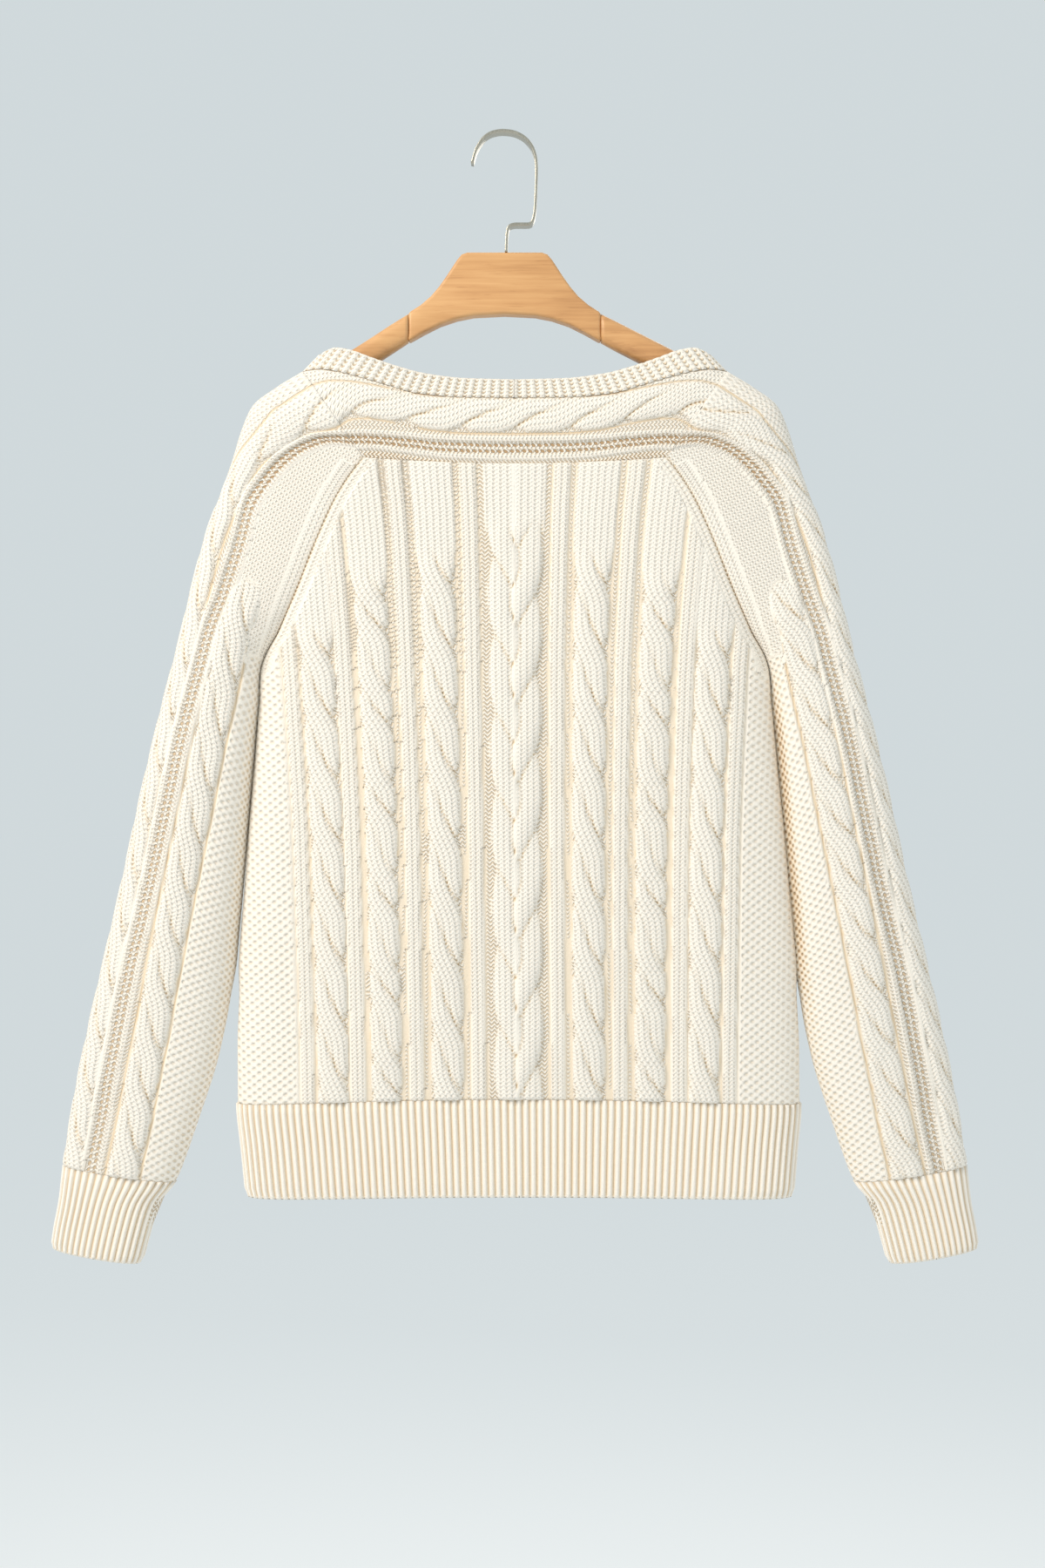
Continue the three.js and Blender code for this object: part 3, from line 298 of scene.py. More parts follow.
def rim_faces(outer_ids, inner_ids, step, ring):
    outer_ids, inner_ids = outer_ids.tolist(), inner_ids.tolist()
    faces = []
    for k in range(len(inner_ids) if ring else len(inner_ids) - 1):
        span = [outer_ids[(k * step + s) % len(outer_ids)] for s in range(step + 1)]
        faces.append(span + [inner_ids[(k + 1) % len(inner_ids)], inner_ids[k]])
    return faces


def cloth_shell(name, base, normal, chart, steps, ring=False, mirrored=False):
    """Mesh of one knitted piece. chart holds lift, wales, courses, kind and painted shade for each grid point.
    """
    rows, columns = chart[0].shape
    down, over = steps
    outer = base + normal * chart[0][..., None]
    inner = (base - normal * WALL)[::down, ::over]
    if mirrored:
        outer, inner = outer * [-1, 1, 1], inner * [-1, 1, 1]
    points = np.concatenate([outer.reshape(-1, 3), inner.reshape(-1, 3)]) + [GARMENT_X, 0, 0]
    ids_out = np.arange(rows * columns).reshape(rows, columns)
    ids_in = rows * columns + np.arange(inner.shape[0] * inner.shape[1]).reshape(inner.shape[:2])
    quads = np.concatenate([
        grid_faces(rows, columns, 0, ring, False),
        grid_faces(*inner.shape[:2], rows * columns, ring, True),
    ])
    rims = [(ids_out[0], ids_in[0], over, ring, -1), (ids_out[-1], ids_in[-1], over, ring, 1)]
    if not ring:
        rims += [(ids_out[:, 0], ids_in[:, 0], down, False, 1), (ids_out[:, -1], ids_in[:, -1], down, False, -1)]
    faces = quads.tolist() + [face[::way] for *rim, way in rims for face in rim_faces(*rim)]
    corner = points[quads]
    volume = sum(np.sum(corner[:, 0] * np.cross(corner[:, k], corner[:, k + 1])) for k in (1, 2))
    if volume < 0:
        faces = [face[::-1] for face in faces]
    piece = add_mesh(name, points, faces)
    add_stitch_grid(piece.data, chart, inner.shape[:2], steps)
    print(name, "has", len(faces), "faces")
    return piece


def stitch_breaks(wales, courses):
    """One where the stitch grid jumps from one point to the next, as at a seam or a column's edge."""
    jump = np.zeros_like(wales)
    for grid in (wales, courses):
        for axis in (0, 1):
            far = np.abs(np.diff(grid, axis=axis)) > LEAST_BREAK
            for sides in ((0, 1), (1, 0)):
                jump += np.pad(far, [sides if axis == k else (0, 0) for k in (0, 1)])
    return np.minimum(jump, 1)


def add_stitch_grid(mesh, chart, inner_shape, steps):
    """Keep each point's place in the stitch grid as a map, and its kind, painted shade and break as numbers."""
    _, wales, courses, kind, crease_shade = chart
    down, over = steps

    def both(grid, inside):
        plain = grid[::down, ::over] if inside is None else np.full(inner_shape, inside)
        return np.concatenate([grid.ravel(), plain.ravel()])

    u, v = both(wales, None), both(courses, None)
    loops = np.empty(len(mesh.loops), int)
    mesh.loops.foreach_get("vertex_index", loops)
    layer = mesh.uv_layers.new(name="stitch_grid")
    layer.data.foreach_set("uv", np.stack([u[loops], v[loops]], axis=1).astype(np.float32).ravel())
    breaks = stitch_breaks(*np.broadcast_arrays(wales, courses))
    # The shade number is painted shade: how much darker and warmer the wool is drawn in creases, grooves and
    # seams.
    fields = {"kind": both(kind, PURL), "crease_shade": both(crease_shade, 0.5), "break": both(breaks, 0)}
    for name, grid in fields.items():
        field = mesh.attributes.new(name, "FLOAT", "POINT")
        field.data.foreach_set("value", grid.astype(np.float32))


print("cloth is", WALL, "mm thick under its stitches")

# %% [markdown]
# ## Front and back of the body
# The body hangs almost flat, with soft turned edges where front and back meet at the side seams. Its half
# width and half depth come from a table by height, and a squarish curve turns the edge. The top follows the
# raglan seams, which lean in from the armpits to the yoke, so the rows there end on the sleeve's seam line.

# %% Sizes of the body
BODY_SQUARENESS = 8
HEM_SEAM, HEM_EDGE = -756, -829
ARMPIT, SIDE_CLOSED = -419, -447
FRONT_DROP = 25
SIDE_SWELL, SIDES_PART, ARMPIT_FILL = 1.85, -655, 2.6
BODY = table("z half depth fan bow sway", [
    (-256, 117, 21, 1.19, -4.5, 0),
    (-300, 144, 23.5, 1.13, -3, 0),
    (-340, 161, 25, 1.095, -1.5, 0),
    (-411, 194, 26, 1.05, 0, 0),
    (-450, 198.5, 26.5, 1.035, 0, 0.4),
    (-492, 202, 26.5, 1.02, 0.6, 0.8),
    (-543, 207, 26.5, 1.006, 1.4, 1.2),
    (-591, 211, 26.5, 0.998, 2.4, 1.6),
    (-636, 215, 26, 0.992, 3.4, 2),
    (-677, 217.5, 25.5, 0.987, 4.4, 2.4),
    (-716, 219, 25, 0.983, 5.2, 2.7),
    (-756, 219, 24, 0.98, 6, 3),
    (-790, 216, 22.5, 0.98, 4.5, 3.4),
    (-829, 212.5, 21, 0.98, 3, 3.8),
])
RAGLAN_DEPTH = table("z lip", [
    (-256, 21), (-300, 22), (-340, 21.3), (-370, 18.6), (-395, 11.5), (-411, 5.4), (-419, 3.15),
])
body = {name: line_through(BODY["z"], BODY[name]) for name in ("half", "depth", "fan", "bow", "sway")}
raglan_depth = line_through(RAGLAN_DEPTH["z"], RAGLAN_DEPTH["lip"])


def side_swell(z):
    """Under the arm, sleeve and body lie against each other until they part above the hem."""
    return SIDE_SWELL * ease(ARMPIT - 1, ARMPIT - 24, z) * ease(SIDES_PART - 22, SIDES_PART + 12, z)


def armpit_fill(z):
    """The raglan seam ends wider than the side seam starts, so the side eases in below it."""
    return ARMPIT_FILL * ease(ARMPIT - 24, ARMPIT, z)


def rim_turn(z):
    return np.pi / 2 * ease(ARMPIT, SIDE_CLOSED, z)


def side_lip(z):
    return np.where(z >= ARMPIT, raglan_depth(z), HALF_GAP + WALL * np.cos(rim_turn(z)))


print("body is", 2 * body["half"](-600.0), "mm wide at the waist")

# %% [markdown]
# ## The sleeve's sections
# A sleeve seen from behind is held between two lines, the outer one from the neck over the shoulder to the
# cuff and the inner one down the raglan seam and under the arm. Each row of the table is one section between
# them: its depth, how square it is, and how far in the outer rope, the eyelets and the inner rope lie.

# %% Sizes of the sleeve
SLEEVE = table("outX outZ inX inZ depth square rope ladder inner", [
    (165, -186.5, 117, -256, 21, 3, 35, 68, 110),
    (185.5, -199, 118.5, -258, 21, 3, 36, 65, 106),
    (204, -213.5, 121, -261.5, 21.3, 3, 34, 60, 100),
    (212.5, -232, 127.5, -270, 21.7, 2.9, 26, 47.5, 88),
    (220, -256.5, 138.5, -288, 22.5, 2.8, 13, 34.5, 74),
    (228.5, -281, 153, -320, 23.4, 2.7, 9, 27.5, 62),
    (239.5, -311.5, 168, -357.5, 24.5, 2.6, 8, 31, 53),
    (249.5, -348, 182, -388, 25.7, 2.5, 8, 29, 47),
    (259.5, -391, 198, -419, 27, 2.4, 7.5, 24, 44),
    (276, -454, 206, -492, 28, 2.3, 7.5, 24.5, 47),
    (291, -516, 211.5, -555, 28, 2.3, 8, 26, 49),
    (305, -580, 217, -616, 28, 2.2, 8, 25.5, 49),
    (318, -637, 222, -667, 26.5, 2.2, 8, 24.5, 50),
    (331.5, -695, 232, -719, 24, 2.2, 8, 25.5, 52),
    (342.5, -748, 247, -767, 21, 2.2, 8, 26, 52),
    (351.5, -804, 265.5, -817, 18, 2.2, 8, 24, 49),
    (354.5, -831, 278.5, -834, 16.5, 2.2, 8, 24, 49),
    (358.5, -852, 286.5, -860, 15.5, 2.2, 8, 24, 49),
    (361, -869, 292, -881, 15, 2.2, 8, 24, 49),
])
ARMPIT_ROW, CUFF_SEAM_ROW, CUFF_EDGE_ROW = 8, 15, 18
SIDE_CLOSED_ROW, EARLY_ROWS, EARLY_TURN = 8.4, 5, 0.11
sleeve = {name: line_through(np.arange(len(SLEEVE["outX"])), SLEEVE[name]) for name in SLEEVE}


def ladder_point(row):
    out = np.array([sleeve["outX"](row), sleeve["outZ"](row)])
    span = np.array([sleeve["inX"](row), sleeve["inZ"](row)]) - out
    return out + span / np.linalg.norm(span, axis=0) * sleeve["ladder"](row)


quarter_rows = np.arange(0, CUFF_SEAM_ROW + 0.25, 0.25)
sleeve_length = line_through(quarter_rows, run_of(ladder_point(quarter_rows).T))


def section(row):
    """One section of the sleeve: its outer point, the way across, and its shape."""
    out = np.array([sleeve["outX"](row), sleeve["outZ"](row)])
    inn = np.array([sleeve["inX"](row) - side_swell(sleeve["inZ"](row)), sleeve["inZ"](row)])
    span = np.linalg.norm(inn - out)
    square = float(sleeve["square"](row))
    rim = math.pi / 2 * float(ease(ARMPIT_ROW, SIDE_CLOSED_ROW, row))
    lip = float(raglan_depth(inn[1])) if row <= ARMPIT_ROW else HALF_GAP + WALL * math.cos(rim)
    if row < EARLY_ROWS:
        turn = EARLY_TURN * row
        depth = lip / (1 - turn**square) ** (1 / square)
    else:
        depth = max(float(sleeve["depth"](row)), lip + 0.2)
        turn = (1 - (lip / depth) ** square) ** (1 / square)
    across = (inn - out) / span
    return dict(
        row=row, out=out, across=across, along=np.array([-across[1], 0, across[0]]), span=span,
        square=square, rim=rim, depth=depth, turn=turn, reach=span / (1 + turn),
    )


def section_points(shape, c, side):
    """Points and outward directions of a section, c being 1 on the outer line and -turn on the inner one."""
    square, depth, reach, across = (shape[n] for n in ("square", "depth", "reach", "across"))
    lift = np.maximum(0, 1 - np.abs(c) ** square) ** (1 / square)
    x, z = (shape["out"][k] + across[k] * (reach * (1 - c)) for k in (0, 1))
    flat = np.sign(c) * np.abs(c) ** (square - 1) / reach
    deep = side * lift ** (square - 1) / depth
    normal = np.stack([-across[0] * flat, deep, -across[1] * flat], axis=-1)
    return np.stack([x, side * depth * lift, z], axis=-1), unit(normal)


def across_seam(row):
    ends = np.array([max(0, row - 0.25), min(ARMPIT_ROW, row + 0.25)])
    along = unit(np.array([np.diff(sleeve[n](ends))[0] for n in ("inX", "inZ")]))
    return np.array([-along[1], along[0]])


print("sleeve is", round(float(sleeve_length(CUFF_SEAM_ROW))), "mm long to the cuff seam")

# %% [markdown]
# ## Building the two body pieces
# The rows are spaced along the raglan seam first and then straight down the side. Soft uneven troughs and
# ridges, listed in a table, keep the hanging cloth from looking pressed.

# %% Body pieces
SEAM_FADE, SEAM_BAND, SEAM_BAND_HEIGHT = 4, 10, 0.7
RAGLAN_STEPS, SIDE_STEPS, BODY_ACROSS = 112, 200, 300
RAGLAN_SHADE, UNDERARM_SHADE, SHADE_WIDTH = 0.7, 0.3, 3.5
EDGE_DEPTH_SHARE = 26 / 210
FOLD_LEAN, FOLD_WAVE, FOLD_STARTS, FOLD_ENDS = 7, 90, (40, -60), (-20, 60)
BODY_FOLDS = table("x top bottom width depth", [
    (-150, -430, -760, 26, -1.6),
    (-84, -560, -770, 30, 1.2),
    (-30, -610, -770, 26, -1.2),
    (44, -520, -770, 34, 1.3),
    (118, -440, -770, 24, -1.5),
    (168, -430, -700, 18, 1.4),
    (-176, -430, -640, 16, 1.2),
])


def folds(x, z):
    total = np.zeros_like(x)
    for middle, top, bottom, width, depth in zip(*BODY_FOLDS.values()):
        lean = FOLD_LEAN * np.sin((z - top) / FOLD_WAVE)
        above, below = (top + d for d in FOLD_STARTS), (bottom + d for d in FOLD_ENDS)
        reach = ease(*above, z) * ease(*below, z)
        total += depth * reach * bell((x - middle - lean) / width)
    return total


def seam_rows(count):
    """Rows of the sleeve table spaced evenly down the raglan seam."""
    fine = np.linspace(0, ARMPIT_ROW, 400)
    steps = np.hypot(np.diff(sleeve["inX"](fine)), np.diff(sleeve["inZ"](fine)))
    return np.interp(np.linspace(0, 1, count + 1), running(steps) / steps.sum(), fine)


def edge_spaced(count):
    """Shares of the half width, an equal length apart round the turned edge."""
    u = 1 - (1 - np.linspace(0, 1, 4000)) ** 2
    y = np.sqrt(np.maximum(0, 1 - u**BODY_SQUARENESS)) * EDGE_DEPTH_SHARE
    run = running(np.hypot(np.diff(u), np.diff(y)))
    half = np.interp(np.linspace(0, 1, count // 2 + 1), run / run[-1], u)
    return np.concatenate([-half[:0:-1], half])


def body_piece(name, side):
    drop = FRONT_DROP if side > 0 else 0
    seam = seam_rows(RAGLAN_STEPS)
    aside = np.array([across_seam(r) for r in seam])
    half = sleeve["inX"](seam) - HALF_GAP * aside[:, 0]
    z = sleeve["inZ"](seam) - HALF_GAP * np.where(np.arange(len(seam)) == 0, 1, aside[:, 1])
    below = np.linspace(z[-1], HEM_SEAM + HALF_GAP, SIDE_STEPS + 1)[1:]
    z = np.concatenate([z, below])[:, None]
    half = np.concatenate([half, body["half"](below) + side_swell(below) + armpit_fill(below)])[:, None]
    u = edge_spaced(BODY_ACROSS)[None, :]
    lip, depth, rim = side_lip(z), body["depth"](z), rim_turn(z)
    bow = body["bow"](z) - drop * ease(ARMPIT, BODY["z"][0], z)
    fall = np.sqrt(np.maximum(0, 1 - np.abs(u) ** BODY_SQUARENESS))
    x = body["sway"](z) + u * half
    at_z = z + bow * (1 - u * u)
    edge = ease(1, 0.93, np.abs(u)) * ease(z[0, 0], z[0, 0] - 40, z) * ease(HEM_SEAM, HEM_SEAM + 40, z)
    y = side * (lip + (depth - lip) * fall + folds(x, at_z) * edge)
    base = np.stack([x, y, at_z], axis=-1)
    slope = (depth - lip) * BODY_SQUARENESS * np.abs(u) ** (BODY_SQUARENESS - 1)
    slope = slope / (2 * half * np.maximum(fall, 0.05))
    normal = unit(np.stack([np.sign(u) * slope, side + 0 * slope, 0 * slope], axis=-1))
    for column, way in ((0, -1), (-1, 1)):
        normal[:, column] = np.concatenate([way * np.sin(rim), side * np.cos(rim), 0 * rim], axis=1)
    line = u * half / body["fan"](z)
    chart = body_chart(line if side < 0 else -line, at_z)
    from_side = (1 - np.abs(u)) * half
    band = ease(SEAM_BAND + 1, SEAM_BAND - 1, from_side) * ease(ARMPIT - 14, ARMPIT + 4, z)
    chart = lay_over(chart, band, SEAM_BAND_HEIGHT, 2 * from_side / SEAM_BAND, KNIT, 0.12)
    lift, wales, kind, crease_shade = chart
    fade = ease(-1, SEAM_FADE, from_side) * ease(-2, 3, z[0, 0] - z) * ease(-1.5, 2, z - HEM_SEAM)
    # Painted shade along the raglan and side edges, where body and sleeve meet.
    edge_shade = mix(UNDERARM_SHADE, RAGLAN_SHADE, ease(ARMPIT - 10, ARMPIT + 20, z))
    crease_shade = np.maximum(crease_shade, edge_shade * (1 - ease(0, SHADE_WIDTH, from_side)))
    return cloth_shell(name, base, normal, (lift * fade, wales, -at_z / COURSE, kind, crease_shade), (8, 10))


back_panel = body_piece("knitted_back", -1)
front_panel = body_piece("knitted_front", 1)

# %% [markdown]
# ## The sleeves
# Each sleeve is one sheet rolled round until its edges meet under the arm. Down it run an outer rope, a row
# of eyelets between two ridges, an inner rope that starts above the elbow, and moss stitch to the seam.

# %% Chart of the strap and sleeve
SLEEVE_ROPE_PERIOD, SHOULDER_ROPE_HALF, YOKE_ROPE_HALF = 42, 18.5, 13
LADDER_CORNER, ROPE_AHEAD = 127, 18
SLEEVE_ROPE_HALF, LADDER_HALF, INNER_ROPE_HALF, INNER_ROPE_START = 10.5, 7, 12.5, 6.8
LADDER_RIDGE, RIDGE_HALF, LADDER_DIP, EYELET_PITCH = 1.6, 1.7, 0.7, 4.8
MOSS_ROWS, CORNER_LENGTHS = (7.5, 8.1), (55, 105)
EYELET_SCALE = COURSE / EYELET_PITCH
WEDGE_SLOPE, WEDGE_PITCH, WEDGE_HEIGHT = math.radians(33), 3.0, 0.7


def strap_chart(arc, lines, length, row, hand, rope_half, ahead=0.0):
    """Stitches by distance from the outer line, for the sleeve and for the strap across the yoke."""
    across, above = arc - lines["ladder"], arc < lines["rope"]
    ground = np.where(above, KNIT, PURL)
    # The purl ground starts with a painted shade of 0.3, and the knit above the rope with 0.1.
    chart = np.where(above, 0.5, 0), across / WALE + 0.5, ground, np.where(above, 0.1, 0.3)
    ropes = [(lines["rope"], rope_half, 1.0, ahead / SLEEVE_ROPE_PERIOD, 0.85)]
    if "inner" in lines:
        begun = ease(INNER_ROPE_START - 0.6, INNER_ROPE_START + 0.4, row)
        ropes.append((lines["inner"], INNER_ROPE_HALF, begun, 0.5, 1.0))
        moss = ease(0, 2, arc - lines["inner"] - INNER_ROPE_HALF - 1) * ease(*MOSS_ROWS, row)
        chart = lay_over(chart, moss, MOSS_HEIGHT, arc / MOSS_WALE, MOSS, MOSS_PAINTED_SHADE)
    for middle, half, begun, shift, size in ropes:
        turn = length / SLEEVE_ROPE_PERIOD + shift
        height, dark = rope(arc - middle, turn, half, hand, SLEEVE_ROPE_PERIOD)
        height = height * ROPE_HEIGHT * size * begun
        inside = np.abs(arc - middle) < (half + 1) * begun**0.4
        wales = (arc - middle - hand * strand_shift(turn, half)) / WALE
        *chart, crease_shade = raise_column(chart, inside, height, wales, dark, 0.4)
        # Painted shade on the purl just beside each rope.
        beside = bell((np.abs(arc - middle) - half - 1.2) / 1.4) * begun
        chart.append(np.maximum(crease_shade, 0.6 * beside))
    lift, wales, kind, crease_shade = chart
    for edge in (-LADDER_HALF, LADDER_HALF):
        ridge = plateau(across - edge, RIDGE_HALF)
        lift, kind = np.maximum(lift, LADDER_RIDGE * ridge), np.where(ridge > 0.5, KNIT, kind)
        crease_shade = mix(crease_shade, 0.1, ridge)
    lane = ease(LADDER_HALF - 1.6, LADDER_HALF - 3, np.abs(across))
    corner = ease(*CORNER_LENGTHS, np.abs(length))
    # Painted shade in the eyelet lane: darker near the shoulder on the sleeves and towards the ends of the yoke
    # strap.
    eyelet_lane_shade = mix(0.85, 0.25, ease(1, 6, row)) if "inner" in lines else mix(0.4, 0.85, corner)
    return lay_over((lift, wales, kind, crease_shade), lane, -LADDER_DIP, wales, EYELET, eyelet_lane_shade)


print("eyelets every", EYELET_PITCH, "mm, in two lanes")

# %% Sleeve pieces
SLEEVE_ROW_STEP, SLEEVE_SIDE = 1.2, 84
SEAM_WALES_WIDTH, FOLD_BESIDE_BODY = 12, (0.6, 3.2)
HOLLOW_AT, HOLLOW_WIDTH, HOLLOW_STARTS, HOLLOW_ENDS = 11, 8, (7.8, 8.8), (13, 11)
SLEEVE_FOLDS = table("row arc width length depth", [
    (8.6, 62, 12, 0.9, -2.2),
    (9.5, 40, 14, 0.8, 1.4),
    (10.6, 70, 12, 1.1, -1.6),
    (12.2, 30, 16, 1.0, 1.2),
    (13.4, 60, 13, 0.9, -1.8),
    (14.3, 36, 12, 0.5, -1.4),
])


def arc_table(shape):
    last = -shape["turn"]
    stop = math.acos(np.clip(math.copysign(abs(last) ** (shape["square"] / 2), last), -1, 1))
    cosine = np.cos(np.linspace(0, stop, 400))
    c = np.sign(cosine) * np.abs(cosine) ** (2 / shape["square"])
    c[-1] = last
    return c, run_of(section_points(shape, c, -1)[0])


def arcs_at(shape, names):
    """How far round a section its ropes and eyelets lie."""
    c_line, arc_line = arc_table(shape)
    inwards = {name: sleeve[name](shape["row"]) / shape["reach"] for name in names}
    return {name: np.interp(share - 1, -c_line, arc_line) for name, share in inwards.items()}


def sleeve_row(row, index, count, hand):
    shape = section(row)
    c_line, arc_line = arc_table(shape)
    total = arc_line[-1]
    lines = arcs_at(shape, ("rope", "ladder", "inner"))
    half_arc = total * np.linspace(0, 1, SLEEVE_SIDE + 1)
    c = np.interp(half_arc, arc_line, c_line)
    c[-1] = -shape["turn"]
    sides = []
    for side in (-1, 1):
        at, normal = section_points(shape, c, side)
        flat = math.sin(shape["rim"])
        normal[-1] = [shape["across"][0] * flat, side * math.cos(shape["rim"]), shape["across"][1] * flat]
        sides.append((at, normal))
    base = np.concatenate([sides[0][0][::-1], sides[1][0][1:]])
    normal = np.concatenate([sides[0][1][::-1], sides[1][1][1:]])
    arc = np.concatenate([half_arc[::-1], half_arc[1:]])
    base += shape["along"] * (HALF_GAP if index == 0 else -HALF_GAP if index == count - 1 else 0)
    if index > 0 and row <= ARMPIT_ROW:
        away = across_seam(row)
        base[[0, -1]] += np.array([away[0], 0, away[1]]) * HALF_GAP
    length = np.full_like(arc, float(sleeve_length(row)) + LADDER_CORNER)
    rope_half = mix(SHOULDER_ROPE_HALF, SLEEVE_ROPE_HALF, float(ease(0.5, 4.5, row)))
    chart = strap_chart(arc, lines, length, row, hand, rope_half, ROPE_AHEAD)
    courses, to_seam = length / COURSE, total - arc
    if row < ARMPIT_ROW:
        ground = chart[2] == PURL
        wedge = ground & (arc > lines["ladder"] + LADDER_HALF + 2)
        band = ground * ease(SEAM_WALES_WIDTH + 1, SEAM_WALES_WIDTH - 1, to_seam) * float(ease(1.5, 3, row))
        x, z, sine, cosine = base[:, 0], base[:, 2], math.sin(WEDGE_SLOPE), math.cos(WEDGE_SLOPE)
        rising, along = x * sine + z * cosine, x * cosine - z * sine
        courses = np.where(wedge & (band <= 0.5), along / COURSE, courses)
        chart = lay_over(chart, wedge * 1.0, WEDGE_HEIGHT, rising / WEDGE_PITCH, KNIT, 0.1)
        chart = lay_over(chart, band, SEAM_BAND_HEIGHT, 3 * to_seam / SEAM_WALES_WIDTH, KNIT, 0.08)
    lift, wales, kind, crease_shade = chart
    drape = np.zeros_like(arc)
    for at_row, at_arc, width, reach, depth in zip(*SLEEVE_FOLDS.values()):
        drape += depth * bell((row - at_row) / reach) * bell((arc - at_arc) / width)
    fade = ease(-1, SEAM_FADE, to_seam)
    cuff_fade = ease(CUFF_SEAM_ROW + 0.06, CUFF_SEAM_ROW - 0.08, row)
    base += normal * (drape * fade * cuff_fade)[:, None]
    hollow = FOLD_BESIDE_BODY[0 if hand > 0 else 1]
    beside = bell((to_seam - HOLLOW_AT) / HOLLOW_WIDTH)
    beside = beside * float(ease(*HOLLOW_STARTS, row) * ease(*HOLLOW_ENDS, row))
    base -= normal * (hollow * beside)[:, None]
    # Painted warm shade on the sleeve's inner side: in the hollow beside the body and near the seam below the
    # armpit.
    underarm_shade = 0.25 * hollow * beside + 0.25 * ease(30, 6, to_seam) * float(ease(7.6, 9, row))
    edge_shade = mix(RAGLAN_SHADE, UNDERARM_SHADE, float(ease(7.6, 8.2, row)))
    crease_shade = np.maximum(np.maximum(crease_shade, underarm_shade), edge_shade * (1 - ease(0, SHADE_WIDTH, to_seam)))
    return base, normal, lift * fade * cuff_fade, wales, courses, kind, crease_shade


def sleeve_piece(name, mirrored):
    fine = np.linspace(0, CUFF_SEAM_ROW, 2000)
    count = 8 * round(float(sleeve_length(CUFF_SEAM_ROW)) / (8 * SLEEVE_ROW_STEP)) + 1
    rows = np.interp(np.linspace(0, sleeve_length(CUFF_SEAM_ROW), count), sleeve_length(fine), fine)
    made = [sleeve_row(float(r), i, len(rows), 1 if mirrored else -1) for i, r in enumerate(rows)]
    base, normal, *chart = (np.stack(part) for part in zip(*made))
    return cloth_shell(name, base, normal, chart, (8, 8), mirrored=mirrored)


left_sleeve = sleeve_piece("knitted_left_sleeve", True)
right_sleeve = sleeve_piece("knitted_right_sleeve", False)

# %% [markdown]
# ## The yoke
# The strap between the neckband and the body carries a rope lying on its side and the row of eyelets. It is
# a ruled sheet: the neck seam above, the body's top edge below, and the sleeves' first section at each end.

# %% Yoke pieces
NECK_SEAM_HALF, NECK_TOP_HALF = 165, 151
NECK_SEAM_DEPTH, NECK_TOP_DEPTH, NECK_SQUARENESS, NECK_GAP = 18.5, 16.5, 8, 0.08
NECK = table("share seam top", [
    (0, -209.7, -195), (0.25, -209.2, -194), (0.45, -206.4, -190.5), (0.6, -199.8, -184.7),
    (0.74, -193, -177.4), (0.85, -188.3, -171.3), (0.93, -186.3, -169.2), (1, -186.5, -172.5),
])
neck_seam = line_through(NECK["share"], NECK["seam"])
neck_top = line_through(NECK["share"], NECK["top"])
YOKE_ROPE_AT, YOKE_LADDER_AT = 0.275, 0.774
YOKE_ACROSS, YOKE_DOWN = 360, 61
YOKE_END_LEAN = 0.57, 0.82


def neck_drop(share, side):
    return np.where(side > 0, FRONT_DROP * (1 - share**2) ** 2, 0)


def oval_depth(share):
    return np.sqrt(np.maximum(0, 1 - np.abs(share) ** NECK_SQUARENESS))


def yoke_piece(name, side):
    shoulder = section(0.0)
    square = shoulder["square"]
    share = edge_spaced(YOKE_ACROSS)[None, :]
    down = np.linspace(0, 1, YOKE_DOWN)[:, None]
    u = np.abs(share)
    top = neck_seam(u) - neck_drop(u, side) - NECK_GAP
    drop = FRONT_DROP if side > 0 else 0
    foot = BODY["z"][0] + (BODY["bow"][0] - drop) * (1 - u * u) + HALF_GAP
    lip = np.minimum(NECK_SEAM_DEPTH * oval_depth(u), shoulder["depth"])
    opening = 1 - (lip / shoulder["depth"]) ** square
    lift_y = np.maximum(0, 1 - opening * (1 - down) ** square) ** (1 / square)
    x = mix(NECK_SEAM_HALF * share, BODY["half"][0] * share, down)
    base = np.stack([x, side * shoulder["depth"] * lift_y, mix(top, foot, down)], axis=-1)
    tilt = opening * (1 - down) ** (square - 1) / shoulder["span"] * u**6
    deep = side * lift_y ** (square - 1) / shoulder["depth"]
    lean_x, lean_z = YOKE_END_LEAN
    normal = np.stack([np.sign(share) * tilt * lean_x, deep, tilt * lean_z], axis=-1)
    edge_at, edge_normal = section_points(shoulder, 1 - down[:, 0], side)
    edge_at[0, 1] = side * HALF_GAP
    edge_at -= shoulder["along"] * HALF_GAP
    for column, way in ((0, -1), (-1, 1)):
        base[:, column] = edge_at * [way, 1, 1]
        normal[:, column] = edge_normal * [way, 1, 1]
    normal[-1] = [0, side, 0]
    normal = unit(normal)
    c_line, arc_line = arc_table(shoulder)
    arc_at = arcs_at(shoulder, ("rope", "ladder"))
    height = mix(top - foot, arc_line[-1], u**6)
    lines = dict(
        rope=mix(YOKE_ROPE_AT * height, arc_at["rope"], u**6),
        ladder=mix(YOKE_LADDER_AT * height, arc_at["ladder"], u**6),
    )
    arc = mix(down * height, np.interp(down[:, 0] - 1, -c_line, arc_line)[:, None], u**6)
    length = -x
    rope_half = mix(YOKE_ROPE_HALF, SHOULDER_ROPE_HALF, u**3)
    lift, wales, kind, crease_shade = strap_chart(arc, lines, length, 0, 1, rope_half)
    fade = ease(-1, 2.5, arc) * ease(-1, 2.5, height - arc)
    # Painted shade along the strap's seams, at the neckband above and the body below.
    crease_shade = np.maximum(crease_shade, 0.7 * (1 - ease(0, 1.8, np.minimum(arc, height - arc))))
    return cloth_shell(name, base, normal, (lift * fade, wales, length / COURSE, kind, crease_shade), (10, 8))


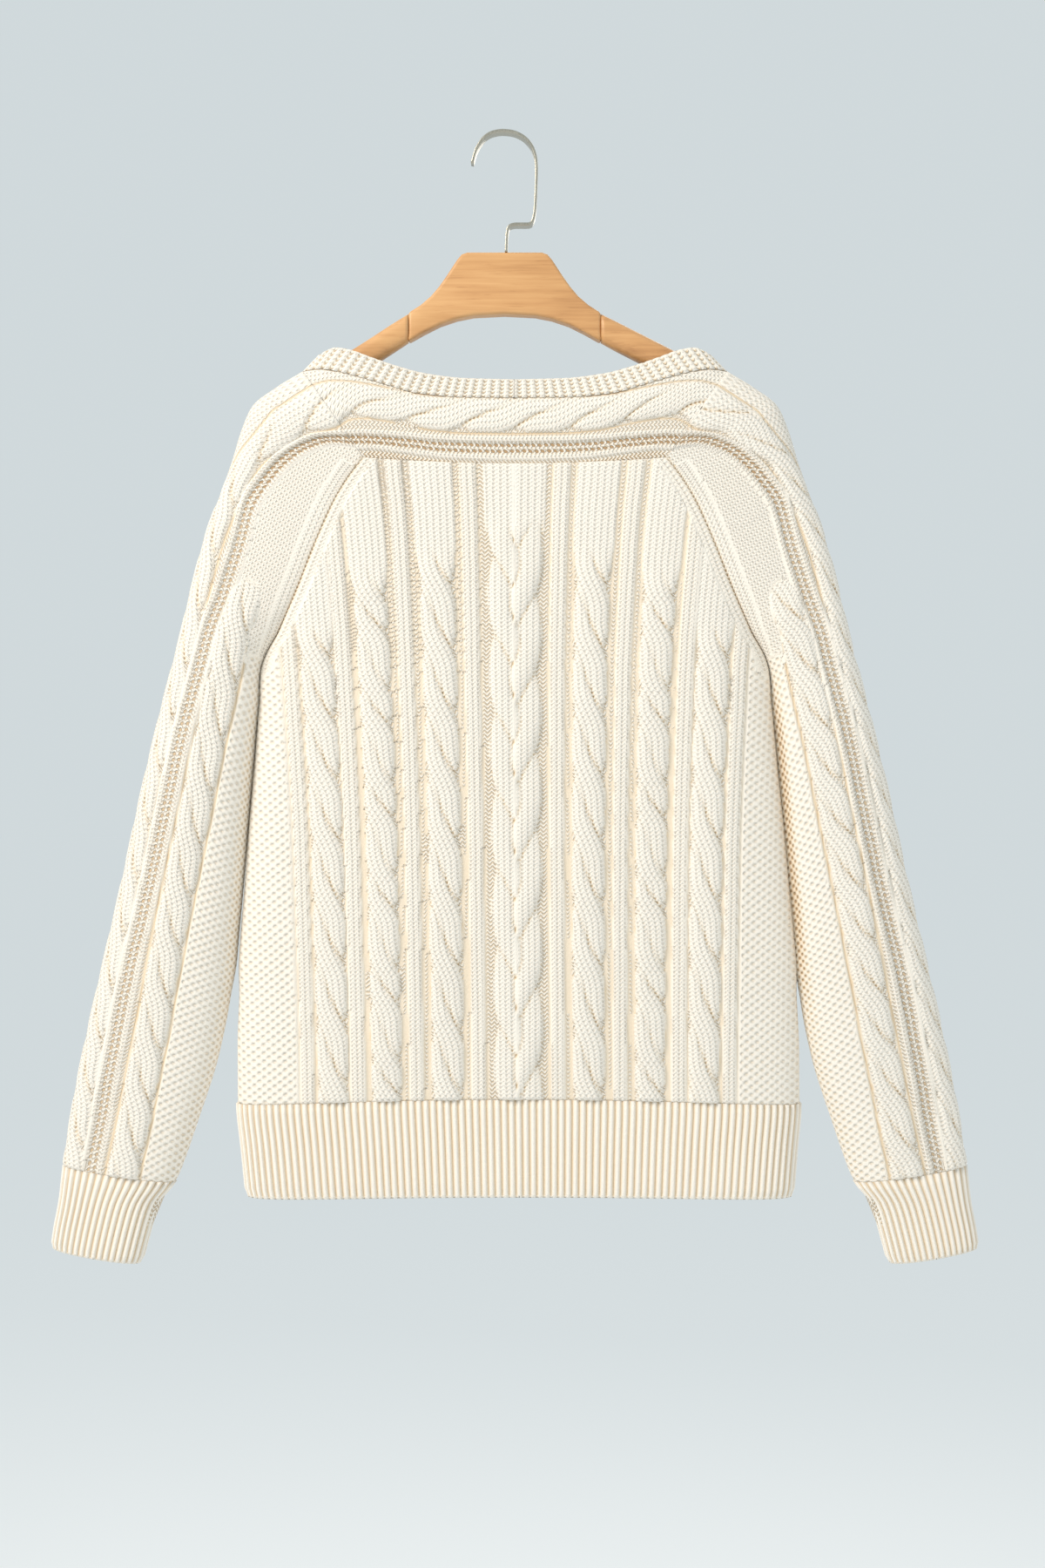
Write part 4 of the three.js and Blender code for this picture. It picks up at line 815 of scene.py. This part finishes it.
back_yoke = yoke_piece("knitted_back_yoke", -1)
front_yoke = yoke_piece("knitted_front_yoke", 1)

# %% [markdown]
# ## Ribbed bands
# Neckband, hem and cuffs are knit one, purl one rib. A band is a closed ring of ribs, each one a rounded
# ridge with a purl groove beside it, and its last rows roll in a little where the edge is bound off.

# %% Ring of rib
NECK_RIBS, HEM_RIBS, CUFF_RIBS = 100, 166, 35
NECK_RIB_HEIGHT, HEM_RIB_HEIGHT, CUFF_RIB_HEIGHT = 1.7, 1.8, 1.6
RIB_POINTS = 6
LEVELS = [0, 0.1, 0.2, 0.3, 0.4, 0.5, 0.6, 0.7, 0.8, 0.9, 0.97, 1]


def oval(t, long_power, deep_power):
    """Shares of half length and half depth round a squarish oval, from the middle of the back."""
    quarters = (t % 1) * 4
    quarter = np.floor(quarters)
    within = np.where(quarter % 2 == 1, 1 - (quarters - quarter), quarters - quarter)
    u = within * (2 - within)
    v = np.maximum(0, 1 - u**long_power) ** (1 / deep_power)
    return np.where(quarter < 2, u, -u), np.where((quarter == 0) | (quarter == 3), -v, v)


def oval_normal(u, v, half, depth, long_power, deep_power):
    return unit(np.stack([
        np.sign(u) * long_power * np.abs(u) ** (long_power - 1) / half,
        np.sign(v) * deep_power * np.abs(v) ** (deep_power - 1) / depth,
        0 * u,
    ], axis=-1))


def evenly(count, points_at):
    fine = np.linspace(0, 1, 8001)
    run = run_of(points_at(fine, 0.0)[0])
    return np.interp(np.arange(count) / count, run / run[-1], fine)


def ribbed_band(name, ribs, height, points_at, tall, mirrored=False):
    count = ribs * RIB_POINTS
    t = evenly(count, points_at)
    base, normal = (np.stack(part) for part in zip(*(points_at(t, level) for level in LEVELS)))
    levels, place = np.array(LEVELS)[:, None], np.arange(count)
    profile = (0.5 + 0.5 * np.cos(2 * np.pi * place / RIB_POINTS)) ** 0.8 + 0 * levels
    tuck = ease(0.9, 1, levels)
    lift = height * profile * (1 - 0.55 * tuck) - 1.0 * tuck
    wales = place / RIB_POINTS + 0.5 + 0 * levels
    courses = levels * tall / COURSE + 0 * wales
    kind = np.where(profile > 0.35, KNIT, PURL)
    # The last number is painted shade, darker in the purl grooves between the ribs.
    chart = (lift, wales, courses, kind, np.clip(0.62 - 0.85 * profile, 0.03, 0.6))
    return cloth_shell(name, base, normal, chart, (len(LEVELS) - 1, RIB_POINTS), ring=True, mirrored=mirrored)


def hem_points(t, level):
    z = mix(HEM_SEAM, HEM_EDGE, level)
    u, v = oval(t, BODY_SQUARENESS, 2)
    half, depth = body["half"](z), body["depth"](z)
    at_z = z + body["bow"](z) * (1 - u * u) - (HALF_GAP if level == 0 else 0)
    at = np.stack([body["sway"](z) + u * half, v * depth, at_z], axis=-1)
    return at, oval_normal(u, v, half, depth, BODY_SQUARENESS, 2)


def neck_points(t, level):
    u, v = oval(t, NECK_SQUARENESS, 2)
    share = np.abs(u)
    half = mix(NECK_SEAM_HALF - 0.4, NECK_TOP_HALF, level)
    depth = mix(NECK_SEAM_DEPTH, NECK_TOP_DEPTH, level)
    z = mix(neck_seam(share) + NECK_GAP, neck_top(share), level) - neck_drop(share, v)
    return np.stack([u * half, v * depth, z], axis=-1), oval_normal(u, v, half, depth, NECK_SQUARENESS, 2)


def cuff_points(t, level):
    shape = section(mix(CUFF_SEAM_ROW, CUFF_EDGE_ROW, level))
    shape["reach"] = shape["span"] / 2
    u, v = oval(t, shape["square"], shape["square"])
    at, upper = section_points(shape, u, 1)
    _, lower = section_points(shape, u, -1)
    at[:, 1] = v * shape["depth"]
    if level == 0:
        at += shape["along"] * HALF_GAP
    return at, np.where(v[:, None] < 0, lower, upper)


hem_band = ribbed_band("hem_band", HEM_RIBS, HEM_RIB_HEIGHT, hem_points, 73)
neck_band = ribbed_band("neck_band", NECK_RIBS, NECK_RIB_HEIGHT, neck_points, 16)
left_cuff, right_cuff = (
    ribbed_band(side + "_cuff_band", CUFF_RIBS, CUFF_RIB_HEIGHT, cuff_points, 66, mirrored=side == "left")
    for side in ("left", "right")
)

# %% [markdown]
# ## Sums in a material
# The stitches themselves, thousands of small V shapes, are far too many to model. They are drawn by sums in
# the material, from each point's place in the stitch grid. A small helper lets those sums be written as sums.


# %% Wires that carry sums
def sum_named(kind):
    return lambda wire, *others: wire.sum_of(kind, *others)


class Wire:
    def __init__(self, tree, socket):
        self.tree, self.socket = tree, socket

    def sum_of(self, kind, *others):
        node = self.tree.nodes.new("ShaderNodeMath")
        node.operation = kind
        for place, value in zip(node.inputs, (self, *others)):
            if isinstance(value, Wire):
                self.tree.links.new(value.socket, place)
            else:
                place.default_value = value
        return Wire(self.tree, node.outputs[0])

    __add__, __sub__ = sum_named("ADD"), sum_named("SUBTRACT")
    __mul__, __pow__ = sum_named("MULTIPLY"), sum_named("POWER")
    fraction, size = sum_named("FRACT"), sum_named("ABSOLUTE")

    def cosine(self):
        return (self * (2 * math.pi)).sum_of("COSINE")

    def between(self, low, high):
        node = self.tree.nodes.new("ShaderNodeMapRange")
        node.interpolation_type = "SMOOTHSTEP"
        self.tree.links.new(self.socket, node.inputs["Value"])
        set_inputs(node, {"From Min": low, "From Max": high})
        return Wire(self.tree, node.outputs[0])

    def blend(self, zero, one):
        return (one - zero) * self + zero if isinstance(one, Wire) else self * (one - zero) + zero


def set_inputs(node, values):
    for name, value in values.items():
        node.inputs[name].default_value = value


def new_material(name):
    material = bpy.data.materials.new(name)
    material.use_nodes = True
    tree = material.node_tree
    return material, tree, tree.nodes["Principled BSDF"]


def noise(tree, scale, detail=3.0, stretch=(1, 1, 1), distortion=0.0):
    where = tree.nodes.new("ShaderNodeTexCoord")
    scaled = tree.nodes.new("ShaderNodeMapping")
    set_inputs(scaled, {"Scale": stretch})
    pattern = tree.nodes.new("ShaderNodeTexNoise")
    set_inputs(pattern, {"Scale": scale, "Detail": detail, "Distortion": distortion})
    tree.links.new(where.outputs["Object"], scaled.inputs["Vector"])
    tree.links.new(scaled.outputs[0], pattern.inputs["Vector"])
    return Wire(tree, pattern.outputs["Fac"])


def colour_ramp(tree, wire, stops):
    ramp = tree.nodes.new("ShaderNodeValToRGB")
    while len(ramp.color_ramp.elements) < len(stops):
        ramp.color_ramp.elements.new(0.5)
    for element, (place, colour) in zip(ramp.color_ramp.elements, stops):
        element.position = place
        element.color = (*colour, 1)
    tree.links.new(wire.socket, ramp.inputs[0])
    return ramp.outputs["Color"]


def raise_surface(tree, shader, height, strength, distance):
    """Let a height stand out of the surface by up to a distance in metres."""
    bump = tree.nodes.new("ShaderNodeBump")
    set_inputs(bump, {"Strength": strength, "Distance": distance})
    tree.links.new(height.socket, bump.inputs["Height"])
    tree.links.new(bump.outputs[0], shader.inputs["Normal"])


print("sums ready")

# %% [markdown]
# ## Ivory wool
# A knit stitch is a V of two yarn legs, a purl stitch is a low bump that lies across, and moss stitch
# alternates the two. The material works out all three heights and picks one by the point's kind. Deep places
# are warmer and darker, because light that reaches them has bounced between ivory yarns, and a soft sheen
# stands for the fuzz on the yarn.

# %% Wool material
def stitch_heights(tree):
    grid = tree.nodes.new("ShaderNodeUVMap")
    grid.uv_map = "stitch_grid"
    parts = tree.nodes.new("ShaderNodeSeparateXYZ")
    tree.links.new(grid.outputs[0], parts.inputs[0])
    wale = Wire(tree, parts.outputs["X"]) + (noise(tree, 70, 2) - 0.5) * 0.3
    course = Wire(tree, parts.outputs["Y"]) + (noise(tree, 95, 2) - 0.5) * 0.45
    from_middle = (wale.fraction() - 0.5).size() * 2.0
    between_wales = (wale.cosine() * 0.5 + 0.5) ** 2.0
    inside_v = (wale.cosine() * -0.5 + 0.5) ** 4.0
    gap = ((course - from_middle * 0.55).cosine() * -0.5 + 0.5) ** 1.5
    dots = (between_wales * gap) + (inside_v * gap) * 0.45
    knit = dots * -0.85 + 1.0 - between_wales * 0.12 - gap * 0.12
    row_gap = ((course + wale.cosine() * 0.3).cosine() * -0.5 + 0.5) ** 2.0
    purl = row_gap * -1.0 + 1.0
    spots = ((wale * 0.5).cosine() * (course * 0.5).cosine() * -0.5 + 0.5) ** 2.5
    moss = spots * -1.35 + 1.0
    lane = (wale.cosine() * 0.5 + 0.5) ** 1.4
    along = course * EYELET_SCALE + wale * 0.5
    holes = (lane * ((along.cosine() * 0.5 + 0.5) ** 1.1)).between(0.2, 0.5)
    return knit, purl, moss, holes


def named_number(tree, name):
    node = tree.nodes.new("ShaderNodeAttribute")
    node.attribute_name = name
    return Wire(tree, node.outputs["Fac"])


def wool(name):
    material, tree, shader = new_material(name)
    knit, purl, moss, holes = stitch_heights(tree)
    kind = named_number(tree, "kind")
    crease_shade = named_number(tree, "crease_shade")
    is_knit = kind.between(0.35, 0.65)
    is_moss = kind.between(1.35, 1.65)
    is_eyelet = (kind * -1.0).between(0.35, 0.65)
    hole = is_eyelet * holes
    stitch = is_moss.blend(is_knit.blend(purl, knit), moss)
    # Where the stitch grid breaks, the stitch level comes from the painted shade number instead.
    stitch = named_number(tree, "break").blend(stitch, crease_shade * -1.5 + 1.0) * (hole * -1.0 + 1.0)
    fuzz = noise(tree, 1300, 4)
    yarn = noise(tree, 420, 2, distortion=1.2)
    patches = noise(tree, 26, 2)
    raise_surface(tree, shader, stitch + fuzz * 0.3 + yarn * 0.22 - hole * 1.2, 0.85, 0.0014)
    # Painted shade: the shade number and the low parts of each stitch darken the ivory towards warm brown, for
    # shade in creases, grooves and eyelet holes; the patches are the wool's own uneven tone.
    painted_warm_shade = crease_shade * (is_eyelet * -0.3 + 0.42)
    shade = (stitch * -1.0 + 1.0) * (crease_shade * 0.55 + 0.25) + hole * (crease_shade * 0.75 + 0.2)
    dark = painted_warm_shade + shade + (patches - 0.5) * 0.1
    colour = colour_ramp(tree, dark + (fuzz - 0.5) * 0.12, [
        (0.0, (0.94, 0.89, 0.81)),
        (0.3, (0.915, 0.835, 0.72)),
        (0.6, (0.83, 0.675, 0.48)),
        (1.0, (0.50, 0.33, 0.185)),
    ])
    tree.links.new(colour, shader.inputs["Base Color"])
    set_inputs(shader, {
        "Roughness": 0.94, "Specular IOR Level": 0.15,
        "Sheen Weight": 0.15, "Sheen Roughness": 0.45, "Sheen Tint": (1.0, 0.95, 0.87, 1),
    })
    return material


ivory_wool = wool("ivory_wool")
garment = dict(
    back_panel=back_panel, front_panel=front_panel, left_sleeve=left_sleeve, right_sleeve=right_sleeve,
    back_yoke=back_yoke, front_yoke=front_yoke, hem_rib=hem_band, neck_rib=neck_band,
    left_cuff=left_cuff, right_cuff=right_cuff,
)
for node, piece in garment.items():
    piece.data.materials.append(ivory_wool)
    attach(piece, "root")
    halves = [node + "_back", node + "_front"] if node.endswith("sleeve") else [node]
    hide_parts(*halves)
print("wool on", len(garment), "pieces")

# %% [markdown]
# ## What each piece was cut to
# A knitted piece comes off the needles flat. The flat size of each one is its widest width and its length,
# and the share of that rectangle it really fills allows for the slanted raglan edges.

# %% Flat sizes
FLAT = {
    "back_panel": (0.46, 0.50, 0.93), "front_panel": (0.46, 0.50, 0.91),
    "left_sleeve": (0.24, 0.63, 0.80), "right_sleeve": (0.24, 0.63, 0.80),
    "back_yoke": (0.34, 0.075, 0.72), "front_yoke": (0.34, 0.085, 0.68),
    "hem_rib": (0.92, 0.075, 1.0), "neck_rib": (0.67, 0.018, 1.0),
    "left_cuff": (0.18, 0.066, 1.0), "right_cuff": (0.18, 0.066, 1.0),
}
for node, (width, length, share) in FLAT.items():
    piece = garment[node]
    print(node, "is cut from", width, "by", length, "m")

# %% [markdown]
# ## The hanger
# The hanger is pale hardwood under clear varnish: a shaped middle block with an arm glued to each side, and
# a flat metal strip bent to a hook. The arms are lofted from a table of sections, the block is cut from its
# outline and its edges are rounded with a bevel, and the hook's strip follows its bent line.

# %% Arms
ARM_STEPS, TIP_STEPS, ARM_RING, ARM_SQUARENESS = 40, 10, 40, 2.7
ARM_COLUMNS = "x top height half"
LEFT_ARM = table(ARM_COLUMNS, [
    (75.05, -141, 22.3, 7), (88, -149, 22.8, 7.6), (104, -159.6, 22.6, 8.6), (122.7, -171.6, 22, 9.3),
    (140, -182.8, 21, 8.8), (155.4, -192.2, 19, 8.2), (168, -198.4, 18.6, 9), (178, -204.4, 16.6, 8.6),
    (186, -211, 13, 7.6), (190.4, -216.4, 7.6, 5), (191.8, -219, 3.4, 2.4),
])
RIGHT_ARM = table(ARM_COLUMNS, [
    (75.05, -141, 22.3, 7), (88, -147.4, 23, 7.6), (104, -155.6, 23, 8.6), (128.8, -168.3, 22, 9.3),
    (150, -179.6, 21, 8.8), (171.4, -190.7, 19.6, 8.2), (184, -197.6, 18.6, 9), (194, -204.4, 16.6, 8.6),
    (202, -211, 13, 7.6), (206.4, -216.4, 7.6, 5), (207.8, -219, 3.4, 2.4),
])


def loft(name, sections):
    """Closed solid through sections of equal point counts, with flat ends."""
    sections = np.asarray(sections)
    rows, count = sections.shape[:2]
    faces = grid_faces(rows, count, 0, True, False).tolist()
    faces += [list(range(count))[::-1], list(range((rows - 1) * count, rows * count))]
    piece = add_mesh(name, sections.reshape(-1, 3), faces)
    piece.data.validate()
    return piece


def arm(name, rows, hand):
    start, tip, end = rows["x"][[0, -3, -1]]
    x = np.concatenate([np.linspace(start, tip, ARM_STEPS), np.linspace(tip, end, TIP_STEPS)[1:]])
    top, height, half = (line_through(rows["x"], rows[n])(x)[:, None] for n in ("top", "height", "half"))
    u, v = oval((np.arange(ARM_RING) + 0.5) / ARM_RING, ARM_SQUARENESS, ARM_SQUARENESS)
    along = np.repeat(hand * x[:, None], ARM_RING, axis=1)
    sections = np.stack([along, u * half, top - height / 2 + v * height / 2], axis=-1)
    return loft(name, sections if hand < 0 else sections[:, ::-1])


left_arm = arm("hanger_left_arm_wood", LEFT_ARM, -1)
right_arm = arm("hanger_right_arm_wood", RIGHT_ARM, 1)
print("arms made")

# %% Middle block
BLOCK = [
    (0, -93.9), (29, -93.9), (33.4, -95.4), (37, -99.6), (45, -111.8), (51, -120.4), (57.5, -128),
    (65.5, -134.9), (75, -140.8), (75, -163.3), (62, -156), (50, -150), (37, -145.6), (24, -143), (0, -141.8),
]
BLOCK_HALF_THICK, BLOCK_ROUNDING = 7, 2.6


def hanger_block():
    outline = BLOCK + [(-x, z) for x, z in BLOCK[-2:0:-1]]
    points = [(x, y * BLOCK_HALF_THICK, z) for y in (-1, 1) for x, z in outline]
    n = len(outline)
    faces = [list(range(n)), list(range(2 * n - 1, n - 1, -1))]
    faces += [[i, i + n, (i + 1) % n + n, (i + 1) % n] for i in range(n)]
    piece = add_mesh("hanger_block_wood", points, faces)
    rounding = piece.modifiers.new("rounded_edges", "BEVEL")
    rounding.width, rounding.segments = BLOCK_ROUNDING * MM, 4
    rounding.limit_method, rounding.angle_limit = "ANGLE", math.radians(50)
    return piece


block = hanger_block()
print("block has", len(block.data.polygons), "faces before rounding")

# %% Hook
HOOK = [
    (-25.2, -23.7), (-22.8, -15.1), (-19.7, -9), (-15.3, -3.5), (-8.8, 0), (-1.7, 1.1), (5.1, 0.5),
    (13.1, -2.6), (18.6, -7.3), (22.4, -13.6), (24.4, -21.4), (24.8, -28.4), (24.4, -44), (23.6, -59.6),
    (22.6, -66.5), (20.9, -70.6), (18.2, -71.7), (8.8, -71.7), (4.6, -72.6), (2.4, -75.6), (1.5, -83.1),
    (1.2, -93.4),
]
HOOK_HALF_THICK, HOOK_HALF_DEPTH, HOOK_CORNER, HOOK_STEPS = 1.1, 5.5, 0.55, 160


def hook_strip():
    path = np.array(HOOK, float)
    run = run_of(path)
    fine = np.linspace(0, run[-1], HOOK_STEPS)
    middle = np.stack([line_through(run, path[:, k])(fine) for k in (0, 1)], axis=1)
    way = unit(np.gradient(middle, axis=0))
    aside = np.stack([-way[:, 1], way[:, 0]], axis=1)
    thick, deep, r = HOOK_HALF_THICK, HOOK_HALF_DEPTH, HOOK_CORNER
    ring = []
    for sx, sy, start in ((1, 1, 0), (-1, 1, 90), (-1, -1, 180), (1, -1, 270)):
        for k in range(4):
            angle = math.radians(start + 30 * k)
            ring.append((sx * (thick - r) + r * math.cos(angle), sy * (deep - r) + r * math.sin(angle)))
    sections = [[(m[0] + a[0] * p, q, m[1] + a[1] * p) for p, q in ring] for m, a in zip(middle, aside)]
    return loft("hanger_hook_strip", sections)


hook = hook_strip()
print("hook made of", len(hook.data.polygons), "faces")

# %% [markdown]
# ## Varnished wood and satin nickel
# Straight fine grain runs along the hanger, with soft darker bands and a few short pores. Noise stretched a
# long way along one axis gives that, and the varnish is a clear coat over it. The hook is satin nickel with
# a warm tint: a rough metal whose brush marks run along the strip.

# %% Wood and nickel materials
def varnished_wood(name, lean):
    material, tree, shader = new_material(name)
    bands = noise(tree, 60, 3, stretch=(0.12, 1.0, 1.0 + lean), distortion=0.6)
    grain = noise(tree, 420, 4, stretch=(0.04, 1, 1), distortion=0.3)
    pores = noise(tree, 900, 2, stretch=(0.06, 1, 1)).between(0.6, 0.75)
    tone = bands * 0.6 + grain * 0.4
    colour = colour_ramp(tree, tone - pores * 0.1, [
        (0.28, (0.44, 0.20, 0.07)),
        (0.5, (0.64, 0.335, 0.13)),
        (0.72, (0.77, 0.445, 0.19)),
    ])
    tree.links.new(colour, shader.inputs["Base Color"])
    raise_surface(tree, shader, grain - pores * 0.5, 0.12, 0.0004)
    set_inputs(shader, {"Roughness": 0.48, "Coat Weight": 0.22, "Coat Roughness": 0.28})
    return material


def satin_nickel(name):
    material, tree, shader = new_material(name)
    marks = noise(tree, 1500, 3, stretch=(1, 1, 0.05))
    colour = colour_ramp(tree, marks, [(0.3, (0.40, 0.375, 0.31)), (0.7, (0.54, 0.51, 0.43))])
    tree.links.new(colour, shader.inputs["Base Color"])
    tree.links.new((marks * 0.15 + 0.25).socket, shader.inputs["Roughness"])
    set_inputs(shader, {"Metallic": 1.0})
    return material


wood = varnished_wood("varnished_beech", 0.0)
nickel = satin_nickel("satin_nickel")
for piece, node, slot, material in (
    (block, "hanger_block", "wood", wood),
    (left_arm, "hanger_arm_left", "wood", wood),
    (right_arm, "hanger_arm_right", "wood", wood),
    (hook, "hanger_hook", "hook_metal", nickel),
):
    piece.data.materials.append(material)
    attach(piece, "root")
    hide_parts(node)
print("hanger finished")

# %% [markdown]
# ## Studio
# The sweater is seen square on from a metre and a half away, at the height of its middle, in soft daylight
# from the upper left. A pale floor lies well below it and the sky is the same pale blue grey, so nothing
# stands behind the garment and it can be looked at from all sides.

# %% Camera, light and floor
VIEW_FAR, VIEW_TALL, FILM = 1.5, 1.224, 36
camera_data = bpy.data.cameras.new("camera")
camera_data.sensor_width = FILM
camera_data.lens = FILM * VIEW_FAR / VIEW_TALL
camera = add_object("camera", camera_data)
camera.location = (0.0139, -VIEW_FAR, -0.5075)
camera.rotation_euler = (math.radians(90), 0, 0)
bpy.context.scene.camera = camera


def soft_light(name, place, size, power, colour):
    data = bpy.data.lights.new(name, "AREA")
    data.size, data.energy, data.color = size, power, colour
    lamp = add_object(name, data)
    lamp.location = place
    x, y, z = np.array([0, 0, -0.5]) - np.array(place)
    lamp.rotation_euler = (math.atan2(math.hypot(x, y), -z), 0, math.atan2(y, x) - math.pi / 2)
    return lamp


soft_light("window", (-1.9, -1.6, 1.1), 1.0, 60, (1.0, 0.895, 0.79))
soft_light("fill", (2.2, -1.8, 0.1), 2.4, 9, (1.0, 0.91, 0.82))
soft_light("behind", (0.4, 2.2, 1.0), 1.8, 22, (1.0, 0.93, 0.85))

SKY = (0.635, 0.695, 0.715, 1)
world = bpy.data.worlds.new("pale_sky")
world.use_nodes = True
set_inputs(world.node_tree.nodes["Background"], {"Color": SKY, "Strength": 1.0})
bpy.context.scene.world = world

FLOOR_HALF, FLOOR_Z = 60000, -2200
floor_corners = [(FLOOR_HALF * x, FLOOR_HALF * y, FLOOR_Z) for x, y in ((-1, -1), (1, -1), (1, 1), (-1, 1))]
floor = add_mesh("floor", floor_corners, [[0, 1, 2, 3]])
floor_material, _, floor_shader = new_material("pale_floor")
set_inputs(floor_shader, {
    "Base Color": (0.88, 0.88, 0.88, 1), "Roughness": 1.0, "Specular IOR Level": 0.0,
    "Emission Color": SKY, "Emission Strength": 0.12,
})
floor.data.materials.append(floor_material)
bpy.context.scene.view_settings.view_transform = "Standard"
bpy.context.scene.view_settings.look = "None"
print("studio ready")
